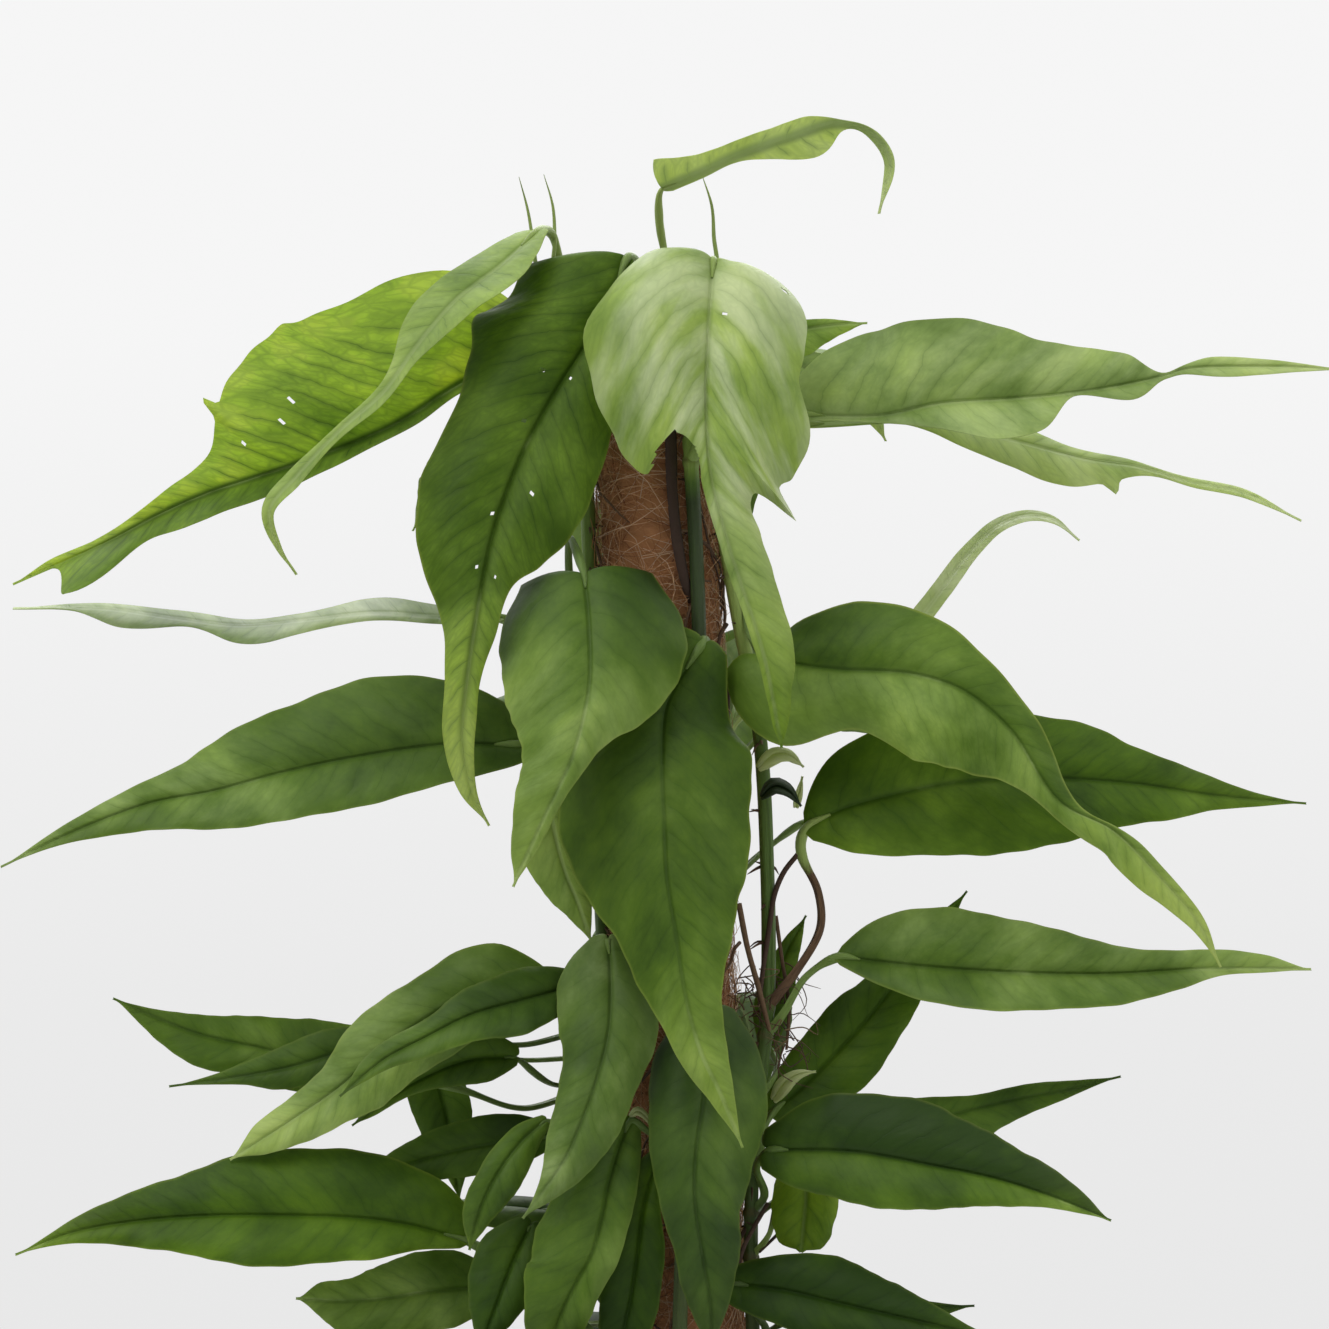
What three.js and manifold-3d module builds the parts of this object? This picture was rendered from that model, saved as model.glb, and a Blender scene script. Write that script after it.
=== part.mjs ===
// A climbing aroid with lobed, long-tipped leaves. Five leafy stems climb a coir pole in a plain nursery pot.
// Millimetres, +Z up. The origin is the middle of the pot's underside, and the plant's front looks along -Y.

import * as THREE from "three";
import Module from "manifold-3d";
import { mergeVertices } from "three/addons/utils/BufferGeometryUtils.js";

const wasm = await Module();
wasm.setup();

// Driving dimensions
const GAP = 0.3; // clearance between pieces that touch
const ROUND = 24; // sides of the pot, the soil and their cuts

const POT_FOOT_RADIUS = 70;
const POT_COLLAR_RADIUS = 91;
const POT_RIM_RADIUS = 95;
const POT_HEIGHT = 172;
const POT_WALL = 1.8;
const COLLAR_HEIGHT = 24; // depth of the rolled collar below the rim
const DRAIN_COUNT = 6;
const DRAIN_RADIUS = 6;
const DRAIN_CIRCLE = 46; // distance of the drain holes from the middle

const SOIL_TOP = 152;
const SOIL_DOME = 3; // how much higher the soil stands in the middle

const POLE_LEAN = 17; // how far the pole's top stands to the left of its foot
const POLE_TOP = 632;
const COIR_RADIUS = 25;
const COIR_FOOT = 118; // the coir starts this high, under the soil
const CORE_RADIUS = 13.5;
const CORE_FOOT = 32;
const POLE_SIDES = 20;

const STEM_RADIUS = 3.1;
const STEM_STEPS = 22;
const STEM_FOOT = 118; // cut end of each stem, in the soil
const PETIOLE_RADIUS = 1.5;
const SPEAR_RADIUS = 0.7;
const BLADE = 0.8; // thickness of a leaf blade
const LEAST_HALF_WIDTH = 0.5;

// Where the plant is looked at from: the seen places below slide along the line of sight from here
const EYE = new THREE.Vector3(-12, -1700, 524);
const TO_EYE = new THREE.Vector3(0, -1, 0);
const UP = new THREE.Vector3(0, 0, 1);

const GREEN = { young: 0x9bbf5a, fresh: 0x5f8f3a, mature: 0x3f6b35, deep: 0x35582f };

function seen([x, depth, z]) {
  const flat = new THREE.Vector3(x, 0, z);
  const share = 1 + depth / -EYE.y;
  return EYE.clone().add(flat.sub(EYE).multiplyScalar(share));
}

// Solids

function solidOf(geometry) {
  const bare = geometry.clone();
  bare.deleteAttribute("normal");
  bare.deleteAttribute("uv");
  const merged = mergeVertices(bare, 1e-5);
  return new wasm.Manifold(new wasm.Mesh({
    numProp: 3,
    vertProperties: new Float32Array(merged.attributes.position.array),
    triVerts: new Uint32Array(merged.index.array),
  }));
}

function geometryOf(solid) {
  const mesh = solid.getMesh();
  const geometry = new THREE.BufferGeometry();
  geometry.setAttribute("position", new THREE.BufferAttribute(mesh.vertProperties, 3));
  geometry.setIndex(new THREE.BufferAttribute(mesh.triVerts, 1));
  return geometry;
}

function ngon(radius, sides) {
  const shape = new THREE.Shape();
  for (let i = 0; i < sides; i += 1) {
    const angle = (i / sides) * Math.PI * 2;
    const corner = [radius * Math.cos(angle), radius * Math.sin(angle)];
    if (i === 0) shape.moveTo(...corner);
    else shape.lineTo(...corner);
  }
  shape.closePath();
  return shape;
}

function tube(points, radius, sides, steps) {
  const extrudePath = new THREE.CatmullRomCurve3(points, false, "centripetal");
  return new THREE.ExtrudeGeometry(ngon(radius, sides), { steps, extrudePath });
}

function turned(profile, sides) {
  const points = profile.map(([radius, height]) => new THREE.Vector2(radius, height));
  const geometry = new THREE.LatheGeometry(points, sides);
  return geometry.rotateX(Math.PI / 2);
}

// A piece of the pole, from its radius and heights. The pole leans about the middle of the soil's top.
function onPole(geometry) {
  const lean = Math.atan2(POLE_LEAN, POLE_TOP - SOIL_TOP);
  geometry.translate(0, 0, -SOIL_TOP);
  geometry.rotateY(-lean);
  return geometry.translate(0, 0, SOIL_TOP);
}

function poleAxis(z) {
  return -POLE_LEAN * ((z - SOIL_TOP) / (POLE_TOP - SOIL_TOP));
}

// Pot, soil and pole

function makePot() {
  const collarFoot = POT_HEIGHT - COLLAR_HEIGHT;
  const outside = [
    [0, 0],
    [POT_FOOT_RADIUS, 0],
    [POT_COLLAR_RADIUS - 2, collarFoot],
    [POT_COLLAR_RADIUS, collarFoot + 1],
    [POT_RIM_RADIUS, POT_HEIGHT],
  ];
  const inside = [
    [POT_RIM_RADIUS - POT_WALL, POT_HEIGHT],
    [POT_COLLAR_RADIUS - 4 - POT_WALL, collarFoot - 4],
    [POT_FOOT_RADIUS - POT_WALL, POT_WALL],
    [0, POT_WALL],
  ];
  let pot = solidOf(turned([...outside, ...inside], ROUND));
  for (let i = 0; i < DRAIN_COUNT; i += 1) {
    const angle = (i / DRAIN_COUNT) * Math.PI * 2;
    const hole = new THREE.CylinderGeometry(DRAIN_RADIUS, DRAIN_RADIUS, POT_WALL * 4, 6);
    hole.rotateX(Math.PI / 2);
    hole.translate(DRAIN_CIRCLE * Math.cos(angle), DRAIN_CIRCLE * Math.sin(angle), 0);
    pot = pot.subtract(solidOf(hole));
  }
  return geometryOf(pot);
}

function potInside(z) {
  const foot = POT_FOOT_RADIUS - POT_WALL;
  const top = POT_COLLAR_RADIUS - 4 - POT_WALL;
  const collarFoot = POT_HEIGHT - COLLAR_HEIGHT - 4;
  return foot + (top - foot) * ((z - POT_WALL) / (collarFoot - POT_WALL));
}

function makeSoil(stems) {
  const edge = SOIL_TOP - SOIL_DOME - 8;
  const profile = [
    [0, POT_WALL + GAP],
    [potInside(POT_WALL) - GAP, POT_WALL + GAP],
    [potInside(edge) - GAP, edge],
    [potInside(edge) - 4, edge + 4],
    [55, SOIL_TOP - 1.5],
    [0, SOIL_TOP],
  ];
  let soil = solidOf(turned(profile, ROUND));
  soil = soil.subtract(solidOf(poleRod(CORE_RADIUS + GAP, CORE_FOOT - GAP, SOIL_TOP + 20)));
  soil = soil.subtract(solidOf(poleRod(COIR_RADIUS + GAP, COIR_FOOT - GAP, SOIL_TOP + 20)));
  for (const stem of stems) {
    const foot = stem.getPointAt(0);
    const hole = new THREE.CylinderGeometry(STEM_RADIUS + 2.5, STEM_RADIUS + 2.5, 60, 8);
    hole.rotateX(Math.PI / 2);
    hole.translate(foot.x, foot.y, STEM_FOOT - GAP + 30);
    soil = soil.subtract(solidOf(hole));
  }
  return geometryOf(soil);
}

function poleRod(radius, low, high) {
  const rod = new THREE.CylinderGeometry(radius, radius, high - low, POLE_SIDES);
  rod.rotateX(Math.PI / 2);
  rod.translate(0, 0, (low + high) / 2);
  return onPole(rod);
}

function makeCoir() {
  const inner = CORE_RADIUS + GAP;
  const profile = [
    [inner, COIR_FOOT],
    [COIR_RADIUS, COIR_FOOT],
    [COIR_RADIUS, POLE_TOP - 3],
    [COIR_RADIUS - 3, POLE_TOP],
    [inner, POLE_TOP],
    [inner, COIR_FOOT],
  ];
  return onPole(turned(profile, POLE_SIDES));
}

// Stems. Each row is [height, angle round the pole from the front to the right, distance off the coir].

const STEMS = {
  front: [
    [STEM_FOOT, -14, 12], [SOIL_TOP, -14, 12], [200, -10, 3], [260, -4, 0], [340, 8, 0],
    [440, 22, 0], [534, 33, 0], [612, 31, 0], [640, 29, 0], [653, 20, -8], [661, 5, -15],
  ],
  right: [
    [STEM_FOOT, 62, 12], [SOIL_TOP, 62, 12], [200, 66, 4], [262, 72, 0.5], [330, 78, 3],
    [382, 82, 10], [440, 84, 12], [499, 80, 11], [545, 72, 5], [590, 66, 0], [622, 64, 0],
  ],
  left: [
    [STEM_FOOT, -72, 12], [SOIL_TOP, -72, 12], [200, -68, 3], [260, -64, 0], [350, -72, 0],
    [450, -84, 0], [570, -80, 0], [646, -80, 0],
  ],
  back_left: [
    [STEM_FOOT, -140, 12], [SOIL_TOP, -140, 12], [200, -136, 3], [260, -132, 0], [380, -138, 0],
    [500, -132, 0], [600, -136, 0], [650, -140, 0],
  ],
  back_right: [
    [STEM_FOOT, 138, 12], [SOIL_TOP, 138, 12], [200, 134, 3], [260, 130, 0], [380, 136, 0],
    [500, 128, 0], [600, 134, 0], [640, 138, 0],
  ],
};

function stemPoint([z, degrees, off]) {
  const angle = THREE.MathUtils.degToRad(degrees);
  const distance = COIR_RADIUS + STEM_RADIUS + GAP + off;
  return new THREE.Vector3(poleAxis(z) + distance * Math.sin(angle), -distance * Math.cos(angle), z);
}

function stemCurve(rows) {
  return new THREE.CatmullRomCurve3(rows.map(stemPoint), false, "centripetal");
}

function atHeight(curve, z) {
  let low = 0;
  let high = 1;
  for (let i = 0; i < 24; i += 1) {
    const middle = (low + high) / 2;
    if (curve.getPoint(middle).z < z) low = middle;
    else high = middle;
  }
  return curve.getPoint(low);
}

// Leaves
//
// rib    points of the midrib from the blade's base to its tip, as [x, depth, z]: x and z as seen from
//        the front, depth away from the viewer
// right  how far the blade reaches from the midrib on its right, at even steps from base to tip, with
//        the blade's upper face seen and its tip ahead. left is the same on its left.
// rise   how much the right and the left half come towards the viewer for each millimetre of reach
// bow    how far each half bulges towards the viewer between midrib and edge, as a share of its reach
// wave   height of the ripples along the edge
// fan    degrees by which the side veins run forward, at even steps, where they don't follow the rule
// node   height on the stem at which the leaf stalk leaves it, and via the points that it passes
// big    whether each half has two strips of faces, and rows their rows where these follow cut edges

const SPEAR = [0.3, 0.85, 1, 0.97, 0.85, 0.66, 0.42, 0.18];

const LEAVES = {
  front: [
    {
      // the big glossy leaf at the top, with a deep notch on one side and a long narrow tip
      rib: [
        [8, -22, 690], [7, -34, 676], [6, -43, 661], [5, -52, 632], [7, -60, 602], [15, -66, 571],
        [29, -72, 527], [36, -72, 490],
      ],
      right: [
        24, 33, 42, 50, 50, 49, 47, 43, 36, 9, 6, 5.5, 5, 4.5, 4, 4, 4, 3.5, 3.5, 3.5, 3, 3, 2.5, 2,
      ],
      left: [
        8, 30, 39, 41, 41, 50, 51, 48, 42, 46, 26, 19, 17, 17, 16, 16, 15, 15, 15, 14, 12, 9, 7, 4,
      ],
      fan: [-28, 0, 24, 40, 46, 44, 40, 34, 30, 30, 30, 30, 30],
      rise: [-0.12, -0.3], bow: 0.22, wave: 1.2, node: 606, via: [[5, -6, 666], [7, -14, 684]],
      big: true, rows: 24,
    },
    {
      // the young leaf above the rest, seen from below
      rib: [
        [-13, -10, 719], [2.5, -14, 725.5], [21, -18, 734], [39, -20, 740], [59, -22, 746],
        [71, -24, 743], [80, -26, 731], [76, -26, 709],
      ],
      right: [2, 2, 2, 6, 10, 2, 2, 2],
      left: [11, 7, 5, 5, 5, 1, 2, 2],
      fan: [10, 5, 12, 20, 25, 30, 30],
      rise: [-1.6, 1.8], bow: 0.2, wave: 0.6, node: 648, via: [[-10, 12, 684], [-14, 2, 706]],
    },
    {
      // the long dark leaf down the middle
      rib: [
        [2.5, -36, 531], [-11, -42, 508], [-13, -50, 488], [-12, -58, 456], [-11, -62, 437], [-7, -66, 412],
        [-3, -70, 387], [3, -73, 365], [11, -75, 348], [20, -76, 326],
      ],
      right: [10, 30, 38, 43, 38, 27, 22, 14, 10, 5],
      left: [12, 25, 36, 36, 34, 28, 20, 15, 11, 5],
      rise: [-0.3, -0.35], bow: 0.15, wave: 1, node: 480, via: [[10, -21, 512], [5, -25, 533]], big: true,
    },
    {
      // the hanging leaf left of the middle, with a dry tip
      rib: [
        [-35, -36, 411], [-34, -44, 393], [-35, -50, 373], [-40, -55, 353], [-47, -58, 334], [-54, -60, 319],
        [-62, -61, 308], [-70, -61, 297],
      ],
      right: [7, 21, 21, 17, 15, 13, 9, 3],
      left: [6, 12, 20, 18, 18, 16, 11, 6],
      rise: [-0.35, -0.3], bow: 0.2, wave: 0.8, node: 390, via: [[-30, -33, 408]], big: true,
    },
    {
      // the dark leaf hanging below the middle
      rib: [
        [7, -39, 380], [5, -44, 361], [4, -48, 345], [1, -52, 324], [0.5, -55, 305], [4, -57, 280],
        [7, -57, 261], [7.5, -56, 242],
      ],
      right: [9, 20, 22, 19, 16, 13, 12, 8],
      left: [10, 23, 26, 25, 21, 18, 13, 6],
      rise: [-0.35, -0.35], bow: 0.2, wave: 0.8, node: 350, via: [[6, -34, 368]], big: true,
    },
    {
      rib: [
        [-26, -34, 337], [-31, -40, 325], [-35, -44, 311], [-38, -47, 296], [-42, -49, 282], [-49, -50, 269],
        [-55, -50, 256], [-63, -48, 228],
      ],
      right: [4, 12, 20, 26, 25, 20, 14, 8],
      left: [5, 10, 12, 12, 12, 13, 12, 7],
      rise: [-0.2, -0.2], bow: 0.2, wave: 0.8, node: 318, via: [[-18, -33, 332]], big: true,
    },
    {
      rib: [
        [-14, -32, 322], [-20, -35, 304], [-23, -37, 283], [-26, -38, 263], [-31, -38, 242], [-36, -37, 226],
      ],
      right: [5, 12, 15, 15, 12, 6],
      left: [4, 6, 11, 13, 12, 7],
      rise: [0, 0], bow: 0.1, wave: 0.6, node: 292,
    },
  ],
  left: [
    {
      // the long leaf that hangs left of the top
      rib: [
        [-27, -8, 691], [-39, -24, 664], [-56, -35, 637], [-70, -42, 611], [-82, -50, 579],
        [-88, -56, 550], [-94, -60, 509], [-95, -60, 493], [-91, -58, 472], [-84, -56, 458],
      ],
      right: [40, 41, 46, 39, 34, 38, 33, 23, 14, 10, 9, 6],
      left: [10, 20, 22, 29, 35, 34, 26, 13, 10, 6, 6, 3],
      fan: [12, 18, 14, 16, 20, 26, 30, 30, 30, 30, 30, 30, 30],
      rise: [-0.45, -0.12], bow: 0.2, wave: 1.4, node: 620, via: [[-23, 12, 680]], big: true, rows: 12,
    },
    {
      // the heart-shaped leaf in the middle
      rib: [
        [-45, -46, 561], [-43, -60, 540], [-43, -72, 514], [-49, -80, 488], [-60, -84, 464], [-74, -86, 433],
      ],
      right: [26, 36, 36, 32, 24, 19, 14, 8],
      left: [27, 37, 36, 24, 11, 6, 4, 3],
      fan: [-24, 0, 12, 22, 30, 30, 30, 30, 30],
      rise: [-0.4, -0.45], bow: 0.2, wave: 1, node: 540, via: [[-51, -28, 576]], big: true,
    },
    {
      // the big leaf pointing left at mid height
      rib: [
        [-71, -18, 491], [-102, -26, 491], [-138, -32, 486], [-167, -36, 480], [-197, -38, 472],
        [-223, -38, 467], [-255, -36, 455], [-284, -34, 441],
      ],
      right: [13, 26, 31, 27, 23, 13, 8, 4],
      left: [8, 14, 19, 21, 19, 14, 9, 3],
      rise: [-0.5, 0.7], bow: 0.15, wave: 1, node: 462, via: [[-58, -6, 487]], big: true,
    },
    {
      rib: [[-60, -8, 479], [-58, -15, 460], [-53, -20, 440], [-47, -24, 425], [-42, -25, 410]],
      right: [8, 15, 16, 14, 10, 5],
      left: [6, 12, 14, 12, 8, 4],
      rise: [-0.2, -0.3], bow: 0.1, wave: 0.5, node: 436, via: [[-54, -5, 470]],
    },
    {
      rib: [
        [-63, -20, 392], [-88, -26, 390], [-108, -30, 380], [-127, -32, 367], [-145, -33, 351],
        [-165, -33, 337], [-190, -32, 321],
      ],
      right: [8, 18, 16, 17, 16, 11, 9, 7],
      left: [8, 15, 18, 19, 20, 15, 12, 7],
      rise: [-0.4, 0.3], bow: 0.2, wave: 1, node: 360, big: true,
    },
    {
      rib: [
        [-49, -24, 392], [-71, -39, 386], [-92, -50, 380], [-110, -54, 371], [-127, -55, 362],
        [-145, -54, 347],
      ],
      right: [8, 12, 12, 10, 7, 7, 5],
      left: [7, 10, 13, 11, 9, 6, 3],
      rise: [-0.5, 0.6], bow: 0.2, wave: 0.8, node: 376, via: [[-42, -18, 388]],
    },
    {
      // the big leaf pointing left near the bottom
      rib: [
        [-94, -20, 288], [-116, -28, 294], [-138, -33, 297], [-167, -37, 298], [-197, -39, 298],
        [-226, -39, 296], [-255, -38, 291], [-278, -36, 282],
      ],
      right: [10, 20, 25, 27, 27, 23, 17, 13, 8, 3],
      left: [4, 8, 15, 18, 21, 19, 15, 11, 7, 3],
      rise: [-0.4, 0.5], bow: 0.15, wave: 1, node: 236, via: [[-62, -16, 270]], big: true,
    },
    {
      rib: [[-61, -38, 337], [-71, -44, 328], [-80, -48, 316], [-87, -50, 302], [-92, -50, 284]],
      right: [3, 6, 7.5, 8, 8, 5],
      left: [3, 7, 11, 11, 8, 4],
      rise: [-0.2, -0.2], bow: 0.2, wave: 0.4, node: 300, via: [[-50, -30, 330]],
    },
    {
      rib: [[-67, -32, 294], [-75, -38, 277], [-81, -42, 261], [-88, -44, 242]],
      right: [5, 14, 16, 14, 10, 5],
      left: [5, 12, 14, 12, 9, 4],
      rise: [-0.2, -0.2], bow: 0.2, wave: 0.5, node: 254, via: [[-54, -22, 284]],
    },
  ],
  right: [
    {
      // the big leaf at the right whose tip hangs over the leaves below
      rib: [
        [31, -24, 527], [43, -32, 524], [59, -40, 522], [90, -50, 520], [111, -56, 513], [130, -60, 497],
        [150, -62, 468], [172, -62, 456], [190, -62, 438], [207, -60, 418], [216, -58, 400],
      ],
      right: [19, 34, 24, 33, 33, 26, 15, 7, 11, 12, 8, 4],
      left: [8, 22, 28, 25, 17, 13, 11, 7, 1.5, 4, 4, 3],
      fan: [-88, -15, 2, 12, 18, 24, 30, 30, 30, 30, 30, 30, 30],
      rise: [0.1, -0.4], bow: 0.15, wave: 1, node: 560, via: [[22, -12, 548], [24, -16, 534]],
      big: true, rows: 12,
    },
    {
      rib: [
        [47, -4, 458], [62, -8, 465], [84, -12, 471], [103, -14, 475], [130, -15, 477], [155, -15, 477],
        [181, -14, 475], [215, -12, 470], [251, -10, 467],
      ],
      right: [6, 19, 27, 31, 31, 26, 20, 14, 7, 3],
      left: [4, 22, 28, 29, 28, 26, 18, 13, 8, 3],
      rise: [0.3, -0.3], bow: 0.1, wave: 1, node: 384, big: true,
      via: [[52, -3, 416], [51, -3, 431], [44.5, -3, 445], [44, -3, 452]],
    },
    {
      rib: [
        [59, -10, 404], [95, -22, 400], [124, -28, 398], [168, -32, 397], [207, -32, 399], [253, -30, 399],
      ],
      right: [3, 8, 13, 15, 15, 14, 12, 8, 3, 1.5],
      left: [3, 19, 24, 23, 20, 16, 11, 9, 8.5, 6],
      rise: [0.9, -0.4], bow: 0.15, wave: 0.8, node: 372, via: [[46, -6, 396]], big: true,
    },
    {
      rib: [[33, 4, 341], [48, 10, 354], [69, 14, 376], [82, 16, 392], [97, 16, 411], [112, 14, 431]],
      right: [6, 14, 18, 17, 15, 12, 8, 3.5],
      left: [6, 12, 15, 16, 13, 10, 7, 4],
      rise: [0.2, -0.2], bow: 0.1, wave: 0.6, node: 322,
    },
    {
      // the leaf pointing right near the bottom
      rib: [
        [32, -28, 325], [66, -38, 324], [95, -44, 319], [124, -48, 313], [146, -50, 306], [171, -50, 296],
      ],
      right: [9, 16, 20, 20, 16, 12, 7, 3],
      left: [9, 20, 24, 25, 21, 16, 12, 7],
      rise: [0.4, -0.35], bow: 0.15, wave: 0.8, node: 300, via: [[26, -20, 318]], big: true,
    },
    {
      rib: [[44, 2, 322], [46, -8, 308], [45, -13, 294], [44, -16, 283]],
      right: [5, 12, 15, 15, 13, 9],
      left: [5, 12, 14, 14, 13, 9],
      rise: [-0.2, -0.2], bow: 0.2, wave: 0.4, node: 282, via: [[36, 2, 310]],
    },
    {
      rib: [[17, -29, 270], [39, -33, 267], [60, -36, 262], [95, -39, 254], [125, -40, 247]],
      right: [8, 12, 15, 15, 13, 10, 6, 3],
      left: [8, 12, 17, 17, 14, 11, 7, 3],
      rise: [0.4, -0.4], bow: 0.15, wave: 0.8, node: 246,
    },
    {
      rib: [[30, 20, 369], [32, 22, 386], [37, 24, 404], [46, 24, 421]],
      right: [4, 8, 9, 7, 4],
      left: [4, 7, 7, 5, 3],
      rise: [0, 0], bow: 0.1, wave: 0.3, node: 346, via: [[34, 10, 360]],
    },
  ],
  back_left: [
    {
      // the broad leaf spreading to the upper left
      rib: [
        [-61, 14, 654], [-94, 6, 640], [-123, 0, 622], [-163, -6, 606], [-197, -10, 595], [-216, -12, 587],
        [-241, -14, 574], [-279, -16, 557],
      ],
      right: [12, 43, 55, 61, 60, 53, 36, 17, 10, 6, 5, 4],
      left: [12, 8, 4, 5, 5, 8, 11, 12, 13, 11, 25, 2],
      fan: [-18, 0, 10, 15, 20, 25, 30, 30, 30, 38, 54, 40, 30],
      rise: [-0.25, 1.6], bow: 0.1, wave: 1.6, node: 610, via: [[-46, 16, 640]], big: true, rows: 12,
    },
    {
      // the narrow leaf that hangs twisted in front of it
      rib: [
        [-65, -8, 701], [-79, -22, 688], [-98, -36, 673], [-114, -44, 654], [-127, -48, 636],
        [-145, -50, 620], [-163, -50, 601], [-174, -50, 587], [-170, -48, 572], [-163, -46, 561],
      ],
      right: [9, 12, 12, 12, 5, 3, 3, 5, 3],
      left: [5, 9, 11, 8, 4, 4, 3, 4, 2],
      fan: [-50, -10, 15, 25, 30, 30],
      rise: [-1.1, 1.4], bow: 0.1, wave: 0.5, node: 640, via: [[-52, 20, 674], [-58, 10, 700]],
    },
    {
      // the leaf held level at eye height
      rib: [
        [-79, 14, 544], [-104, 12, 544], [-131, 10, 546], [-161, 8, 541], [-186, 6, 538], [-213, 4, 542],
        [-243, 2, 547], [-279, 0, 547],
      ],
      right: [4, 5, 7, 4, 3, 4, 3, 2],
      left: [3, 3, 3, 5, 9, 3, 8, 1.5],
      rise: [-4, 1.6], bow: 1.2, wave: 1, node: 520, via: [[-58, 18, 536]], rows: 8,
    },
    {
      rib: [[-120, 6, 355], [-149, 2, 360], [-175, 0, 366], [-205, -3, 373], [-238, -5, 387]],
      right: [6, 16, 17, 15, 13, 10, 6.5, 2.5],
      left: [6, 12, 14, 14, 14, 14, 10, 5],
      rise: [-0.3, 0.3], bow: 0.1, wave: 0.6, node: 326, via: [[-70, 20, 342], [-96, 10, 350]],
    },
    {
      rib: [[-120, -8, 369], [-144, -10, 365], [-165, -12, 359], [-186, -13, 355], [-215, -13, 351]],
      right: [4, 9, 11, 9, 5.5, 2],
      left: [4, 8, 10, 9, 4, 1.5],
      rise: [-0.3, 0.2], bow: 0.1, wave: 0.4, node: 350, via: [[-70, 18, 368], [-98, -2, 370]],
    },
    {
      rib: [[-74, -12, 363], [-92, -16, 362], [-108, -19, 356], [-124, -20, 347], [-140, -19, 335]],
      right: [5, 12, 14, 12, 8, 4],
      left: [4, 10, 9, 6, 4, 3],
      rise: [0, 0.2], bow: 0.1, wave: 0.4, node: 336, via: [[-58, 2, 352]],
    },
    {
      rib: [[-108, 24, 369], [-105, 24, 353], [-101, 22, 337], [-98, 20, 320], [-96, 18, 304]],
      right: [5, 13, 14, 13, 9, 4],
      left: [5, 10, 12, 11, 8, 4],
      rise: [0, 0.2], bow: 0.1, wave: 0.4, node: 340, via: [[-72, 34, 362]],
    },
    {
      rib: [[-59, -2, 330], [-79, -6, 328], [-100, -9, 324], [-120, -11, 318], [-145, -12, 308]],
      right: [6, 11, 12, 11, 8, 4],
      left: [5, 10, 12, 11, 8, 4],
      rise: [-0.3, 0.1], bow: 0.1, wave: 0.4, node: 282, via: [[-48, 8, 316]],
    },
    {
      rib: [[-83, -6, 269], [-108, -11, 267], [-128, -14, 264], [-145, -15, 263], [-163, -15, 264]],
      right: [6, 15, 16, 14, 10, 8],
      left: [6, 14, 17, 18, 15, 7],
      rise: [-0.3, 0.3], bow: 0.1, wave: 0.6, node: 232, via: [[-56, 8, 254]],
    },
  ],
  back_right: [
    {
      // the big leaf pointing right at the top
      rib: [
        [43, 0, 626], [76, -6, 626], [101, -10, 631], [131, -12, 633], [161, -14, 636], [192, -14, 642],
        [202, -14, 645], [235, -12, 646], [267, -10, 645],
      ],
      right: [3, 2, 4, 11, 18, 15, 1.5, 8, 1.5, 5, 4, 2],
      left: [12, 30, 36, 36, 32, 25, 20, 14, 1.5, 5, 4, 2],
      rise: [1.2, -0.35], bow: 0.15, wave: 1.2, node: 590, via: [[24, 14, 616]], big: true, rows: 12,
    },
    {
      rib: [
        [43, 16, 622], [72, 18, 624], [97, 18, 624], [119, 17, 619], [142, 16, 613], [162, 14, 608],
        [182, 12, 605], [203, 10, 599], [226, 8, 594], [249, 6, 583],
      ],
      right: [2, 2, 2, 8, 12, 16, 9, 2.5, 2.5, 2],
      left: [4, 8, 11, 12, 9, 5, 4, 2, 2.5, 2],
      rise: [0.8, -1.2], bow: 0.1, wave: 0.8, node: 570, via: [[24, 22, 606]],
    },
    {
      rib: [
        [80, 14, 527], [95, 14, 546], [104, 12, 558], [114, 10, 571], [125, 8, 581], [137, 6, 585],
        [148, 4, 583], [158, 4, 575],
      ],
      right: [3, 4, 4, 4, 3.5, 3, 2],
      left: [3, 4, 4, 4, 3.5, 3, 2],
      rise: [1.6, -1.6], bow: 0, wave: 0.3, node: 486, via: [[40, 22, 500], [64, 16, 512]],
    },
    {
      rib: [[19, 20, 654], [39, 20, 660], [56, 20, 663], [71, 18, 664]],
      right: [4, 10, 12, 8, 4],
      left: [4, 6, 5, 4, 2],
      rise: [0.3, -0.3], bow: 0.1, wave: 0.3, node: 629, via: [[8, 22, 646]],
    },
    {
      rib: [[56, 4, 324], [84, 6, 333], [109, 8, 340], [134, 10, 346], [150, 10, 349], [175, 10, 355]],
      right: [4, 10, 14, 16, 12, 8, 5, 2],
      left: [4, 8, 11, 9, 6, 6, 5, 2.5],
      rise: [0.4, -0.4], bow: 0.1, wave: 0.5, node: 280, via: [[36, 16, 306]],
    },
    {
      rib: [[39, 12, 255], [68, 10, 258], [93, 8, 260], [115, 6, 261]],
      right: [4, 9, 10, 8, 4],
      left: [3, 7, 7, 5, 2],
      rise: [0.4, -0.4], bow: 0.1, wave: 0.3, node: 236,
    },
  ],
};

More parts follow.
